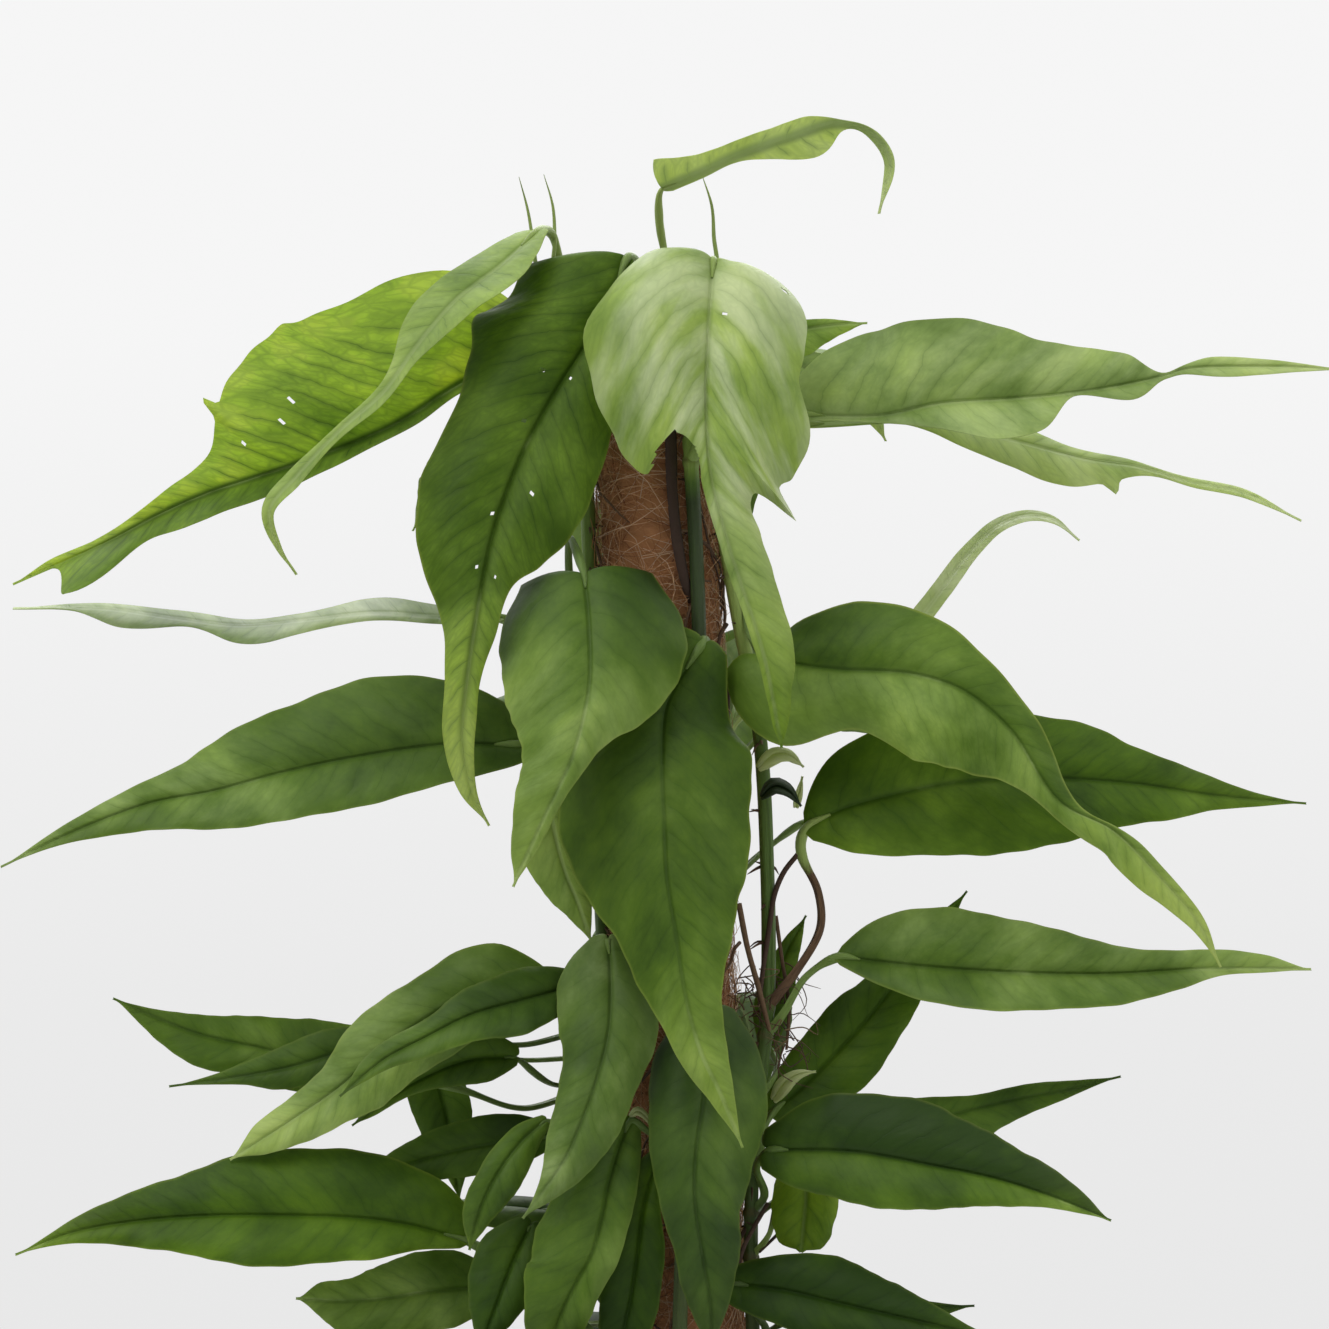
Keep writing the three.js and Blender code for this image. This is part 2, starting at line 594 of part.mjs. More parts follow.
// Leaves at the back and over the pot's rim, where no view from the front reaches. Each row is
// [azimuth from +X to +Y, height of the blade's base, its distance from the pole, length, half width,
// pitch at the base, pitch at the tip and sideways swing, in degrees].
const ARCHING = {
  front: [[-112, 226, 56, 128, 24, 24, -78, -14], [-66, 220, 58, 120, 23, 16, -82, 10]],
  left: [[-150, 222, 60, 138, 25, 26, -76, -16], [176, 238, 58, 112, 21, 10, -60, 18]],
  right: [[-28, 224, 60, 132, 24, 20, -80, 14], [8, 238, 60, 116, 21, 8, -56, -12]],
  back_left: [
    [102, 664, 46, 112, 25, 38, -60, 26], [136, 628, 56, 122, 22, -4, -40, -10],
    [98, 584, 54, 156, 30, 12, -84, -14], [154, 503, 62, 128, 19, 0, -28, -8],
    [122, 492, 50, 140, 27, 34, -58, 22], [92, 430, 54, 160, 29, 6, -82, 12],
    [150, 392, 58, 108, 19, -4, -50, -12], [108, 334, 52, 140, 25, 26, -70, -14],
    [152, 296, 60, 118, 19, 4, -24, 8], [126, 236, 58, 128, 24, 18, -84, 16],
  ],
  back_right: [
    [74, 628, 46, 138, 28, 6, -78, 10], [38, 650, 52, 106, 20, 8, -40, 14],
    [70, 530, 50, 150, 26, 12, -70, 16], [28, 506, 62, 120, 18, 0, -24, 10],
    [84, 448, 52, 136, 26, 12, -70, 2], [30, 458, 66, 104, 15, 2, -6, -4],
    [70, 378, 50, 130, 22, 12, -76, 12], [26, 336, 62, 104, 18, 2, -36, 10],
    [90, 300, 54, 140, 25, 14, -76, -8], [44, 232, 58, 124, 24, 26, -64, 20],
  ],
};
const ARCH_STEPS = 6;

// The thin furled tips that stand above the plant, as seen at foot and tip
const SPEARS = {
  back_left: [[[-57, 10, 683], [-61, 10, 725]], [[-66, 8, 679], [-72, 6, 722]]],
  front: [[[9, -4, 681], [4, -4, 725]]],
};

function archingLeaf([azimuth, height, distance, length, halfWidth, firstPitch, lastPitch, swing]) {
  const outwardAt = (degrees) => {
    const angle = THREE.MathUtils.degToRad(degrees);
    return new THREE.Vector3(Math.cos(angle), Math.sin(angle), 0);
  };
  const outward = outwardAt(azimuth);
  const point = outward.clone().multiplyScalar(distance);
  point.x += poleAxis(height);
  point.z = height;
  const rib = [point.clone()];
  const step = length / ARCH_STEPS;
  for (let i = 0; i < ARCH_STEPS; i += 1) {
    const share = (i + 0.5) / ARCH_STEPS;
    const pitch = THREE.MathUtils.degToRad(firstPitch + (lastPitch - firstPitch) * share);
    point.addScaledVector(outwardAt(azimuth + swing * share * 2), step * Math.cos(pitch));
    point.z += step * Math.sin(pitch);
    rib.push(point.clone());
  }
  const half = SPEAR.map((share) => share * halfWidth);
  const face = outwardAt(azimuth + swing * 2).add(UP).normalize();
  return {
    ribPoints: rib, face, right: half, left: half,
    rise: [-0.2, -0.2], bow: 0.2, wave: 0.8, node: height - 34,
  };
}

function along(values, t) {
  const all = [...values, 0];
  const place = Math.min(Math.max(t, 0), 1) * (all.length - 1);
  const i = Math.min(Math.floor(place), all.length - 2);
  const f = place - i;
  const [p1, p2] = [all[i], all[i + 1]];
  const p0 = i > 0 ? all[i - 1] : p1;
  const p3 = i + 2 < all.length ? all[i + 2] : p2;
  const slope1 = (p2 - p0) / 2;
  const slope2 = (p3 - p1) / 2;
  const curve = (2 * f ** 3 - 3 * f ** 2 + 1) * p1 + (f ** 3 - 2 * f ** 2 + f) * slope1
    + (3 * f ** 2 - 2 * f ** 3) * p2 + (f ** 3 - f ** 2) * slope2;
  return Math.max(curve, LEAST_HALF_WIDTH);
}

function evenly(values, t) {
  const place = t * (values.length - 1);
  const i = Math.min(Math.floor(place), values.length - 2);
  return values[i] + (values[i + 1] - values[i]) * (place - i);
}

const BACK_FAN = 42; // degrees by which the side veins at the base run backward
const FORWARD_FAN = 30; // and those near the tip run forward

function bladePoint(leaf, t, side) {
  const ahead = leaf.curve.getTangentAt(t);
  const right = ahead.clone().cross(leaf.face ?? TO_EYE).normalize();
  const out = right.clone().cross(ahead).normalize();
  const hand = side < 0 ? -1 : 1;
  const share = Math.abs(side);
  const reach = along(side < 0 ? leaf.left : leaf.right, t);
  const rise = side < 0 ? leaf.rise[1] : leaf.rise[0];
  const rule = FORWARD_FAN * Math.min(1, t * 2) - BACK_FAN * Math.exp(-t / 0.1);
  const vein = THREE.MathUtils.degToRad(leaf.fan ? evenly(leaf.fan, t) : rule);
  const ripple = leaf.wave * share ** 2 * Math.sin(Math.PI * (t * 9 + (side < 0 ? 0.7 : 0)));
  const bulge = reach * (rise * share + leaf.bow * 4 * share * (1 - share));
  return leaf.curve.getPointAt(t)
    .addScaledVector(right, hand * share * reach * Math.cos(vein))
    .addScaledVector(ahead, share * reach * Math.sin(vein))
    .addScaledVector(out, bulge + ripple * Math.min(1, reach / 10));
}

function bladeGeometry(leaf) {
  const rows = leaf.rows ?? Math.min(leaf.right.length, leaf.big ? 8 : 6);
  const halves = leaf.big ? 2 : 1;
  const columns = halves * 2 + 1;
  const grid = [];
  for (let i = 0; i <= rows; i += 1) {
    for (let j = -halves; j <= halves; j += 1) grid.push(bladePoint(leaf, i / rows, j / halves));
  }
  const at = (i, j) => grid[i * columns + j];
  const upper = [];
  const lower = [];
  for (let i = 0; i <= rows; i += 1) {
    for (let j = 0; j < columns; j += 1) {
      const lengthwise = at(Math.min(i + 1, rows), j).clone().sub(at(Math.max(i - 1, 0), j));
      const across = at(i, Math.min(j + 1, columns - 1)).clone().sub(at(i, Math.max(j - 1, 0)));
      const normal = across.cross(lengthwise).normalize().multiplyScalar(BLADE / 2);
      upper.push(at(i, j).clone().add(normal));
      lower.push(at(i, j).clone().sub(normal));
    }
  }
  const corners = [...upper, ...lower];
  const under = upper.length;
  const faces = [];
  const quad = (a, b, c, d) => faces.push(a, b, c, a, c, d);
  for (let i = 0; i < rows; i += 1) {
    for (let j = 0; j < columns - 1; j += 1) {
      const a = i * columns + j;
      const [b, c, d] = [a + 1, a + 1 + columns, a + columns];
      quad(a, b, c, d);
      faces.push(under + a, under + c, under + b, under + a, under + d, under + c);
    }
  }
  const wall = (a, b) => quad(b, a, under + a, under + b);
  for (let i = 0; i < rows; i += 1) {
    wall((i + 1) * columns, i * columns);
    wall(i * columns + columns - 1, (i + 1) * columns + columns - 1);
  }
  for (let j = 0; j < columns - 1; j += 1) {
    wall(j, j + 1);
    wall(rows * columns + j + 1, rows * columns + j);
  }
  const geometry = new THREE.BufferGeometry();
  const flat = corners.flatMap((p) => [p.x, p.y, p.z]);
  geometry.setAttribute("position", new THREE.Float32BufferAttribute(flat, 3));
  geometry.setIndex(faces);
  return geometry;
}

function stalkGeometry(leaf, stem) {
  const foot = atHeight(stem, leaf.node);
  const base = leaf.curve.getPointAt(0);
  const outward = new THREE.Vector3(foot.x - poleAxis(foot.z), foot.y, 0).normalize();
  const length = foot.distanceTo(base);
  const first = foot.clone().addScaledVector(outward, length * 0.16).addScaledVector(UP, length * 0.2);
  const middle = foot.clone().lerp(base, 0.6).addScaledVector(UP, length * 0.08);
  const between = leaf.via ? leaf.via.map(seen) : [middle];
  const points = [foot, first, ...between, base, leaf.curve.getPointAt(0.05)];
  return tube(points, PETIOLE_RADIUS, 3, 4 + between.length);
}

function prepare(leaf) {
  const points = leaf.ribPoints ?? leaf.rib.map(seen);
  return { ...leaf, curve: new THREE.CatmullRomCurve3(points, false, "centripetal") };
}

function leavesOf(name) {
  return [...LEAVES[name], ...ARCHING[name].map(archingLeaf)].map(prepare);
}

function makeVine(name, stem) {
  const pieces = [new THREE.ExtrudeGeometry(ngon(STEM_RADIUS, 6), { steps: STEM_STEPS, extrudePath: stem })];
  for (const leaf of leavesOf(name)) {
    pieces.push(bladeGeometry(leaf), stalkGeometry(leaf, stem));
  }
  const top = stem.getPointAt(1);
  for (const [foot, tip] of SPEARS[name] ?? []) {
    pieces.push(tube([top, seen(foot), seen(tip)], SPEAR_RADIUS, 3, 4));
  }
  const vine = pieces.map(solidOf).reduce((whole, piece) => whole.add(piece));
  return geometryOf(largestOf(vine));
}

// The outer skin alone, so that no hollow stays where stalks and blades close round one
function largestOf(solid) {
  return solid.decompose().reduce((best, piece) => (piece.volume() > best.volume() ? piece : best));
}

// The whole plant

const plant = new THREE.Group();

function add(name, geometry, color, roughness) {
  const material = new THREE.MeshStandardMaterial({ color, roughness, metalness: 0 });
  const mesh = new THREE.Mesh(geometry, material);
  mesh.name = name;
  plant.add(mesh);
}

const stemCurves = Object.fromEntries(Object.entries(STEMS).map(([name, rows]) => [name, stemCurve(rows)]));

add("pot", makePot(), 0x3a3b3c, 0.6);
add("soil", makeSoil(Object.values(stemCurves)), 0x33251c, 0.95);
add("pole_core", poleRod(CORE_RADIUS, CORE_FOOT, POLE_TOP - 2), 0x8a6f4e, 0.8);
add("coir_wrap", makeCoir(), 0x6f4026, 0.95);
add("vine_front", makeVine("front", stemCurves.front), GREEN.fresh, 0.4);
add("vine_left", makeVine("left", stemCurves.left), GREEN.fresh, 0.4);
add("vine_right", makeVine("right", stemCurves.right), GREEN.mature, 0.4);
add("vine_back_left", makeVine("back_left", stemCurves.back_left), GREEN.young, 0.4);
add("vine_back_right", makeVine("back_right", stemCurves.back_right), GREEN.deep, 0.4);

export default plant;
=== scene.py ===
"""A potted skeleton key pothos that climbs a coir pole: its looks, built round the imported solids."""

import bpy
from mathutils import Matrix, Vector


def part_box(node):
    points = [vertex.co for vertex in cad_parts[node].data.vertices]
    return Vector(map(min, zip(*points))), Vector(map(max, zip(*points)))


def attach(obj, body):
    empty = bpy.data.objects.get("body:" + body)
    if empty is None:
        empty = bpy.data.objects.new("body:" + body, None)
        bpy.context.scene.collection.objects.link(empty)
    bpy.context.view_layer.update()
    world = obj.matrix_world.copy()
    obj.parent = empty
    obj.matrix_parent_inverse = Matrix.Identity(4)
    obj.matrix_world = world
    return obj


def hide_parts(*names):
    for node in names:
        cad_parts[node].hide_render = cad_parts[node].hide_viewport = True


bl_info = {
    "name": "Potted skeleton key pothos",
    "version": (1, 0, 0),
    "blender": (4, 5, 0),
    "location": "3D View > Sidebar > Pothos",
    "description": "Builds a climbing pothos on its coir pole, with soil, pot and a pale stage",
    "category": "Object",
}

import math
import random

import bmesh
import bpy
import numpy as np
from mathutils import Vector, noise

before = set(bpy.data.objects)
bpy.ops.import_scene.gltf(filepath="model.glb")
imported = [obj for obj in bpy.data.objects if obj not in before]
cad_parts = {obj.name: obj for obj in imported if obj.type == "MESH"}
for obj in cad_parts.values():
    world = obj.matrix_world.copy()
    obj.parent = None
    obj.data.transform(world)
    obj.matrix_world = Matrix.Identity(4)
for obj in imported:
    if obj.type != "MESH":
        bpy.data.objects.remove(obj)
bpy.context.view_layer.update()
POT_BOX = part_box("pot")

MM = 0.001
ROOT = "root"
UP = np.array([0.0, 0.0, 1.0])

# The heights and radii of the solids, in millimetres
SOIL_TOP = 152
POLE_TOP = 632
POLE_LEAN = 17
COIR_RADIUS = 25
COIR_FOOT = 118
CORE_RADIUS = 13.5
CORE_FOOT = 32
STEM_RADIUS = 3.1
STEM_FOOT = 118
GAP = 0.3
POT_FOOT_RADIUS = 70
POT_COLLAR_RADIUS = 91
POT_WALL = 1.8
COLLAR_HEIGHT = 24
DRAIN_COUNT = 6
DRAIN_RADIUS = 6
DRAIN_CIRCLE = 46
BARK_CHIPS = 120
ROOT_HAIRS = 46
PATH_STEPS = 400

# Where the roots on a stem begin and how far below its tip they end, in millimetres, how often one
# runs on over the coir, and the seeds of the roots' draws and the soil's
ROOTS_FROM = 190
ROOTS_BELOW_TIP = 30
CREEPING_SHARE = 0.75
ROOT_SEED = 71
CRUMB_SEED = 33

# The sides of a rod
STEM_SIDES = 20
STALK_SIDES = 14
SHOOT_SIDES = 10
ROOT_SIDES = 7
HAIR_SIDES = 5

# How rods taper from foot to tip at even steps, as shares of the radius, and in millimetres for the
# young shoots and the root hairs
STALK_TAPER = np.array([1.5, 1.25, 1.1, 1.0, 0.95, 0.92, 0.9, 0.9, 0.95, 1.3, 1.35, 0.9, 0.35])
OLD_ROOT_TAPER = np.array([1.0, 1.05, 0.95, 1.0, 0.9, 0.7])
STUB_TAPER = np.array([1.15, 1.0, 0.85, 0.6, 0.2])
SHOOT_RADII = np.array([1.3, 1.2, 1.15, 1.0, 0.85, 0.6, 0.12])
HAIR_RADII = np.array([0.32, 0.28, 0.22, 0.1])

# The stage, in metres
FLOOR_LEVEL = -0.0004
SEEN_HALF_WIDTH = 0.2725
SENSOR_WIDTH = 36.0

# Where the plant is looked at from. Places that are given as [x, depth, z] slide along the line of
# sight from here, so that they keep their place in the view.
EYE = np.array([-12.0, -1700.0, 524.0])
TO_EYE = np.array([0.0, -1.0, 0.0])

# How far the side veins fan forward on a blade, back at its base and out at its lobes, in degrees
FORWARD_FAN = 30
BACK_FAN = 42
LOBE_FAN = 30

# The least half width of a blade and the gap between side veins, in millimetres, and how steeply the
# veins run forward
LEAST_REACH = 0.5
VEIN_GAP = 10.5
VEIN_SWEEP = 0.6

# An arching leaf's outline, as shares of its half width at even steps, and the steps of its midrib
SPEAR = [0.3, 0.85, 1, 0.97, 0.85, 0.66, 0.42, 0.18]
ARCH_STEPS = 6

# The names of the maps that the materials read
COORDINATES = ("place", "span", "kind", "tone")

# Stems. Each row is [height, angle round the pole from the front to the right, distance off the coir].
STEMS = {
    "front": [
        [STEM_FOOT, -14, 12], [SOIL_TOP, -14, 12], [200, -10, 3], [260, -4, 0], [340, 8, 0],
        [440, 22, 0], [534, 33, 0], [612, 31, 0], [640, 29, 0], [653, 20, -8], [661, 5, -15],
    ],
    "right": [
        [STEM_FOOT, 62, 12], [SOIL_TOP, 62, 12], [200, 66, 4], [262, 72, 0.5], [330, 78, 3],
        [382, 82, 10], [440, 84, 12], [499, 80, 11], [545, 72, 5], [590, 66, 0], [622, 64, 0],
    ],
    "left": [
        [STEM_FOOT, -72, 12], [SOIL_TOP, -72, 12], [200, -68, 3], [260, -64, 0], [350, -72, 0],
        [450, -84, 0], [570, -80, 0], [646, -80, 0],
    ],
    "back_left": [
        [STEM_FOOT, -140, 12], [SOIL_TOP, -140, 12], [200, -136, 3], [260, -132, 0], [380, -138, 0],
        [500, -132, 0], [600, -136, 0], [650, -140, 0],
    ],
    "back_right": [
        [STEM_FOOT, 138, 12], [SOIL_TOP, 138, 12], [200, 134, 3], [260, 130, 0], [380, 136, 0],
        [500, 128, 0], [600, 134, 0], [640, 138, 0],
    ],
}

# Leaves, in the same terms as the solids: the midrib's points from base to tip, the reach to its right
# and left at even steps, how far the side veins fan forward in degrees, how each half rises and bows
# towards the viewer, the height of the ripples, and the height at which the stalk leaves the stem, with
# the points that it passes. teeth stand out from the edge; holes and bites are missing spots, as seen
# from the front. look is the age from pale to dark, the yellow of the tip, the strength of the sheen
# painted pale on the upper side in place of reflected light, and how far light shines through. along
# shifts the age from base to tip; the shift of each half darkens or lightens the left and right half
# as painted shade and light, for the light and shade that fall on it. shine scales the painted sheen
# from base to tip, and brown and joint are a stalk's colour and that of its knee.
LEAVES = {
    "front": [
        dict(
            # the big glossy leaf at the top, with a deep notch on one side and a long narrow tip
            rib=[[8, -22, 690], [7, -34, 676], [6, -43, 661], [5, -52, 632], [7, -60, 602], [15, -66, 571],
                [29, -72, 527], [36, -72, 490]],
            right=[24, 33, 42, 50, 50, 49, 47, 43, 36, 20, 6, 5.5, 5, 4.5, 4, 4, 4, 3.5, 3.5, 3.5, 3, 3, 2.5,
                2],
            left=[8, 30, 39, 41, 41, 50, 51, 48, 42, 46, 26, 19, 17, 17, 16, 16, 15, 15, 15, 14, 12, 9, 7, 4],
            fan=[-28, 0, 24, 40, 46, 44, 40, 34, 30, 30, 30, 30, 30],
            rise=[-0.12, -0.3], bow=0.22, wave=1.2, node=606, via=[[5, -6, 666], [7, -14, 684]],
            holes=[(37.4, 675.9), (12.3, 667.3)], teeth=[("left", 0.386, 0.008, 5)],
            look=(0.26, 0.1, 1.1, 0.35), along=[0.06, -0.04, -0.08, 0, 0.1, 0.2],
            shine=[0.9, 0.95, 1, 0.7, 0.25, 0], bites=[(-6.9, 600, 9.8, 18.9)],
        ),
        dict(
            # the young leaf above the rest, seen from below
            rib=[[-13, -10, 719], [2.5, -14, 725.5], [21, -18, 734], [39, -20, 740], [59, -22, 746],
                [71, -24, 743], [80, -26, 731], [76, -26, 709]],
            right=[2, 2, 2, 6, 10, 2, 2, 2], left=[11, 7, 5, 5, 5, 1, 2, 2], fan=[10, 5, 12, 20, 25, 30, 30],
            rise=[-1.6, 1.8], bow=0.2, wave=0.6, node=648, via=[[-10, 12, 684], [-14, 2, 706]],
            look=(0, 0.2, 1.5, 0.75),
        ),
        dict(
            # the long dark leaf down the middle
            rib=[[2.5, -36, 531], [-11, -42, 508], [-13, -50, 488], [-12, -58, 456], [-11, -62, 437],
                [-7, -66, 412], [-3, -70, 387], [3, -73, 365], [11, -75, 348], [20, -76, 326]],
            right=[10, 30, 38, 43, 38, 27, 22, 14, 10, 5], left=[12, 25, 36, 36, 34, 28, 20, 15, 11, 5],
            rise=[-0.3, -0.35], bow=0.15, wave=1, node=480, via=[[10, -21, 512], [5, -25, 533]],
            look=(0.68, 0.5, 0.25, 0.25), along=[0.05, 0.05, -0.08, -0.22, -0.02],
        ),
        dict(
            # the hanging leaf left of the middle, with a dry tip
            rib=[[-35, -36, 411], [-34, -44, 393], [-35, -50, 373], [-40, -55, 353], [-47, -58, 334],
                [-54, -60, 319], [-62, -61, 308], [-70, -61, 297]],
            right=[7, 21, 21, 17, 15, 13, 9, 3], left=[6, 12, 20, 18, 18, 16, 11, 6],
            rise=[-0.35, -0.3], bow=0.2, wave=0.8, node=390, via=[[-30, -33, 408]],
            look=(0.57, 0.15, 0.8, 0.2),
        ),
        dict(
            # the dark leaf hanging below the middle
            rib=[[7, -39, 380], [5, -44, 361], [4, -48, 345], [1, -52, 324], [0.5, -55, 305], [4, -57, 280],
                [7, -57, 261], [7.5, -56, 242]],
            right=[9, 20, 22, 19, 16, 13, 12, 8], left=[10, 23, 26, 25, 21, 18, 13, 6],
            rise=[-0.35, -0.35], bow=0.2, wave=0.8, node=350, via=[[6, -34, 368]],
            look=(0.89, 0.1, 0.5, 0.1),
        ),
        dict(
            rib=[[-26, -34, 337], [-31, -40, 325], [-35, -44, 311], [-38, -47, 296], [-42, -49, 282],
                [-49, -50, 269], [-55, -50, 256], [-63, -48, 228]],
            right=[4, 12, 20, 26, 25, 20, 14, 8], left=[5, 10, 12, 12, 12, 13, 12, 7],
            rise=[-0.2, -0.2], bow=0.2, wave=0.8, node=318, via=[[-18, -33, 332]],
            look=(0.72, 0.15, 0.35, 0.2),
        ),
        dict(
            rib=[[-14, -32, 322], [-20, -35, 304], [-23, -37, 283], [-26, -38, 263], [-31, -38, 242],
                [-36, -37, 226]],
            right=[5, 12, 15, 15, 12, 6], left=[4, 6, 11, 13, 12, 7],
            rise=[0, 0], bow=0.1, wave=0.6, node=292,
            look=(0.87, 0.05, 0, 0.1),
        ),
    ],
    "left": [
        dict(
            # the long leaf that hangs left of the top
            rib=[[-27, -8, 691], [-39, -24, 664], [-56, -35, 637], [-70, -42, 611], [-82, -50, 579],
                [-88, -56, 550], [-94, -60, 509], [-95, -60, 493], [-91, -58, 472], [-84, -56, 458]],
            right=[40, 41, 46, 39, 34, 38, 33, 23, 14, 10, 9, 6],
            left=[10, 20, 22, 29, 35, 34, 26, 13, 10, 6, 6, 3],
            fan=[12, 18, 14, 16, 20, 26, 30, 30, 30, 30, 30, 30, 30],
            rise=[-0.25, -0.12], bow=0.2, wave=1.4, node=620, via=[[-23, 12, 680]],
            holes=[(-69.7, 624.6), (-50, 641.4), (-63.1, 644.7), (-67.6, 594.7), (-83.2, 585.3), (-81.6,
                559), (-88.5, 564.8)],
            look=(0.56, 0.85, 0.15, 0.8), along=[-0.03, -0.05, 0.05, -0.03, -0.2, -0.28, -0.3],
            shine=[1, 1, 1, 2, 3],
        ),
        dict(
            # the heart-shaped leaf in the middle
            rib=[[-45, -46, 561], [-43, -60, 540], [-43, -72, 514], [-49, -80, 488], [-60, -84, 464],
                [-74, -86, 433]],
            right=[26, 36, 36, 32, 24, 19, 14, 8], left=[27, 37, 36, 24, 11, 6, 4, 3],
            fan=[-24, 0, 12, 22, 30, 30, 30, 30, 30],
            rise=[-0.4, -0.45], bow=0.2, wave=1, node=540, via=[[-51, -28, 576]],
            look=(0.68, 0.4, 0.4, 0.15), along=[0.1, -0.16, -0.24, -0.3],
        ),
        dict(
            # the big leaf pointing left at mid height
            rib=[[-71, -18, 491], [-102, -26, 491], [-138, -32, 486], [-167, -36, 480], [-197, -38, 472],
                [-223, -38, 467], [-255, -36, 455], [-284, -34, 441]],
            right=[13, 26, 31, 27, 23, 13, 8, 4], left=[8, 14, 19, 21, 19, 14, 9, 3],
            rise=[-0.5, 0.7], bow=0.15, wave=1, node=462, via=[[-58, -6, 487]],
            look=(0.6, 0.25, 0.5, 0.2), halves=(0, -0.03), along=[0.14, 0, 0, 0],
        ),
        dict(
            rib=[[-60, -8, 479], [-58, -15, 460], [-53, -20, 440], [-47, -24, 425], [-42, -25, 410]],
            right=[8, 15, 16, 14, 10, 5], left=[6, 12, 14, 12, 8, 4],
            rise=[-0.2, -0.3], bow=0.1, wave=0.5, node=436, via=[[-54, -5, 470]],
            look=(0.33, 0.05, 0.3, 0.2),
        ),
        dict(
            rib=[[-63, -20, 392], [-88, -26, 390], [-108, -30, 380], [-127, -32, 367], [-145, -33, 351],
                [-165, -33, 337], [-190, -32, 321]],
            right=[8, 18, 16, 17, 16, 11, 9, 7], left=[8, 15, 18, 19, 20, 15, 12, 7],
            rise=[-0.4, 0.3], bow=0.2, wave=1, node=360,
            look=(0.6, 0.5, 0.5, 0.3), along=[0.05, -0.02, -0.2, -0.25],
        ),
        dict(
            rib=[[-49, -24, 392], [-71, -39, 386], [-92, -50, 380], [-110, -54, 371], [-127, -55, 362],
                [-145, -54, 347]],
            right=[8, 12, 12, 10, 7, 7, 5], left=[7, 10, 13, 11, 9, 6, 3],
            rise=[-0.5, 0.6], bow=0.2, wave=0.8, node=376, via=[[-42, -18, 388]],
            look=(0.74, 0.1, 0.4, 0.2),
        ),
        dict(
            # the big leaf pointing left near the bottom
            rib=[[-94, -20, 288], [-116, -28, 294], [-138, -33, 297], [-167, -37, 298], [-197, -39, 298],
                [-226, -39, 296], [-255, -38, 291], [-278, -36, 282]],
            right=[10, 20, 25, 27, 27, 23, 17, 13, 8, 3], left=[4, 8, 15, 18, 21, 19, 15, 11, 7, 3],
            rise=[-0.4, 0.5], bow=0.15, wave=1, node=236, via=[[-62, -16, 270]],
            look=(0.72, 0.3, 0.05, 0.35), halves=(-0.08, 0),
        ),
        dict(
            rib=[[-61, -38, 337], [-71, -44, 328], [-80, -48, 316], [-87, -50, 302], [-92, -50, 284]],
            right=[3, 6, 7.5, 8, 8, 5], left=[3, 7, 11, 11, 8, 4],
            rise=[-0.2, -0.2], bow=0.2, wave=0.4, node=300, via=[[-50, -30, 330]],
            look=(0.72, 0.15, 0.3, 0.2),
        ),
        dict(
            rib=[[-67, -32, 294], [-75, -38, 277], [-81, -42, 261], [-88, -44, 242]],
            right=[5, 14, 16, 14, 10, 5], left=[5, 12, 14, 12, 9, 4],
            rise=[-0.2, -0.2], bow=0.2, wave=0.5, node=254, via=[[-54, -22, 284]],
            look=(0.8, 0, 0.1, 0.1),
        ),
    ],
    "right": [
        dict(
            # the big leaf at the right whose tip hangs over the leaves below
            rib=[[31, -24, 527], [43, -32, 524], [59, -40, 522], [90, -50, 520], [111, -56, 513],
                [130, -60, 497], [150, -62, 468], [172, -62, 456], [190, -62, 438], [207, -60, 418],
                [216, -58, 400]],
            right=[19, 34, 24, 33, 33, 26, 15, 7, 11, 12, 8, 4],
            left=[8, 22, 28, 25, 17, 13, 11, 7, 1.5, 4, 4, 3],
            fan=[-88, -15, 2, 12, 18, 24, 30, 30, 30, 30, 30, 30, 30],
            rise=[0.1, -0.4], bow=0.15, wave=1, node=560, via=[[22, -12, 548], [24, -16, 534]],
            look=(0.64, 0.9, 0.3, 0.3), halves=(0.02, -0.16), along=[0.06, -0.02, 0, -0.05, -0.22, -0.36],
        ),
        dict(
            rib=[[47, -4, 458], [62, -8, 465], [84, -12, 471], [103, -14, 475], [130, -15, 477],
                [155, -15, 477], [181, -14, 475], [215, -12, 470], [251, -10, 467]],
            right=[6, 19, 27, 31, 31, 26, 20, 14, 7, 3], left=[4, 22, 28, 29, 28, 26, 18, 13, 8, 3],
            rise=[0.3, -0.3], bow=0.1, wave=1, node=384,
            via=[[52, -3, 416], [51, -3, 431], [44.5, -3, 445], [44, -3, 452]], brown=1.2, joint=0.1,
            look=(0.65, 0.2, 0.1, 0.4), halves=(0, -0.06), along=[-0.06, 0, 0.08],
        ),
        dict(
            rib=[[59, -10, 404], [95, -22, 400], [124, -28, 398], [168, -32, 397], [207, -32, 399],
                [253, -30, 399]],
            right=[3, 8, 13, 15, 15, 14, 12, 8, 3, 1.5], left=[3, 19, 24, 23, 20, 16, 11, 9, 8.5, 6],
            rise=[0.9, -0.4], bow=0.15, wave=0.8, node=372, via=[[46, -6, 396]],
            look=(0.6, 0.4, 0.5, 0.2), along=[0, 0, -0.08, -0.15],
        ),
        dict(
            rib=[[33, 4, 341], [48, 10, 354], [69, 14, 376], [82, 16, 392], [97, 16, 411], [112, 14, 431]],
            right=[6, 14, 18, 17, 15, 12, 8, 3.5], left=[6, 12, 15, 16, 13, 10, 7, 4],
            rise=[0.2, -0.2], bow=0.1, wave=0.6, node=322,
            look=(0.64, 0.1, 0.1, 0.25),
        ),
        dict(
            # the leaf pointing right near the bottom
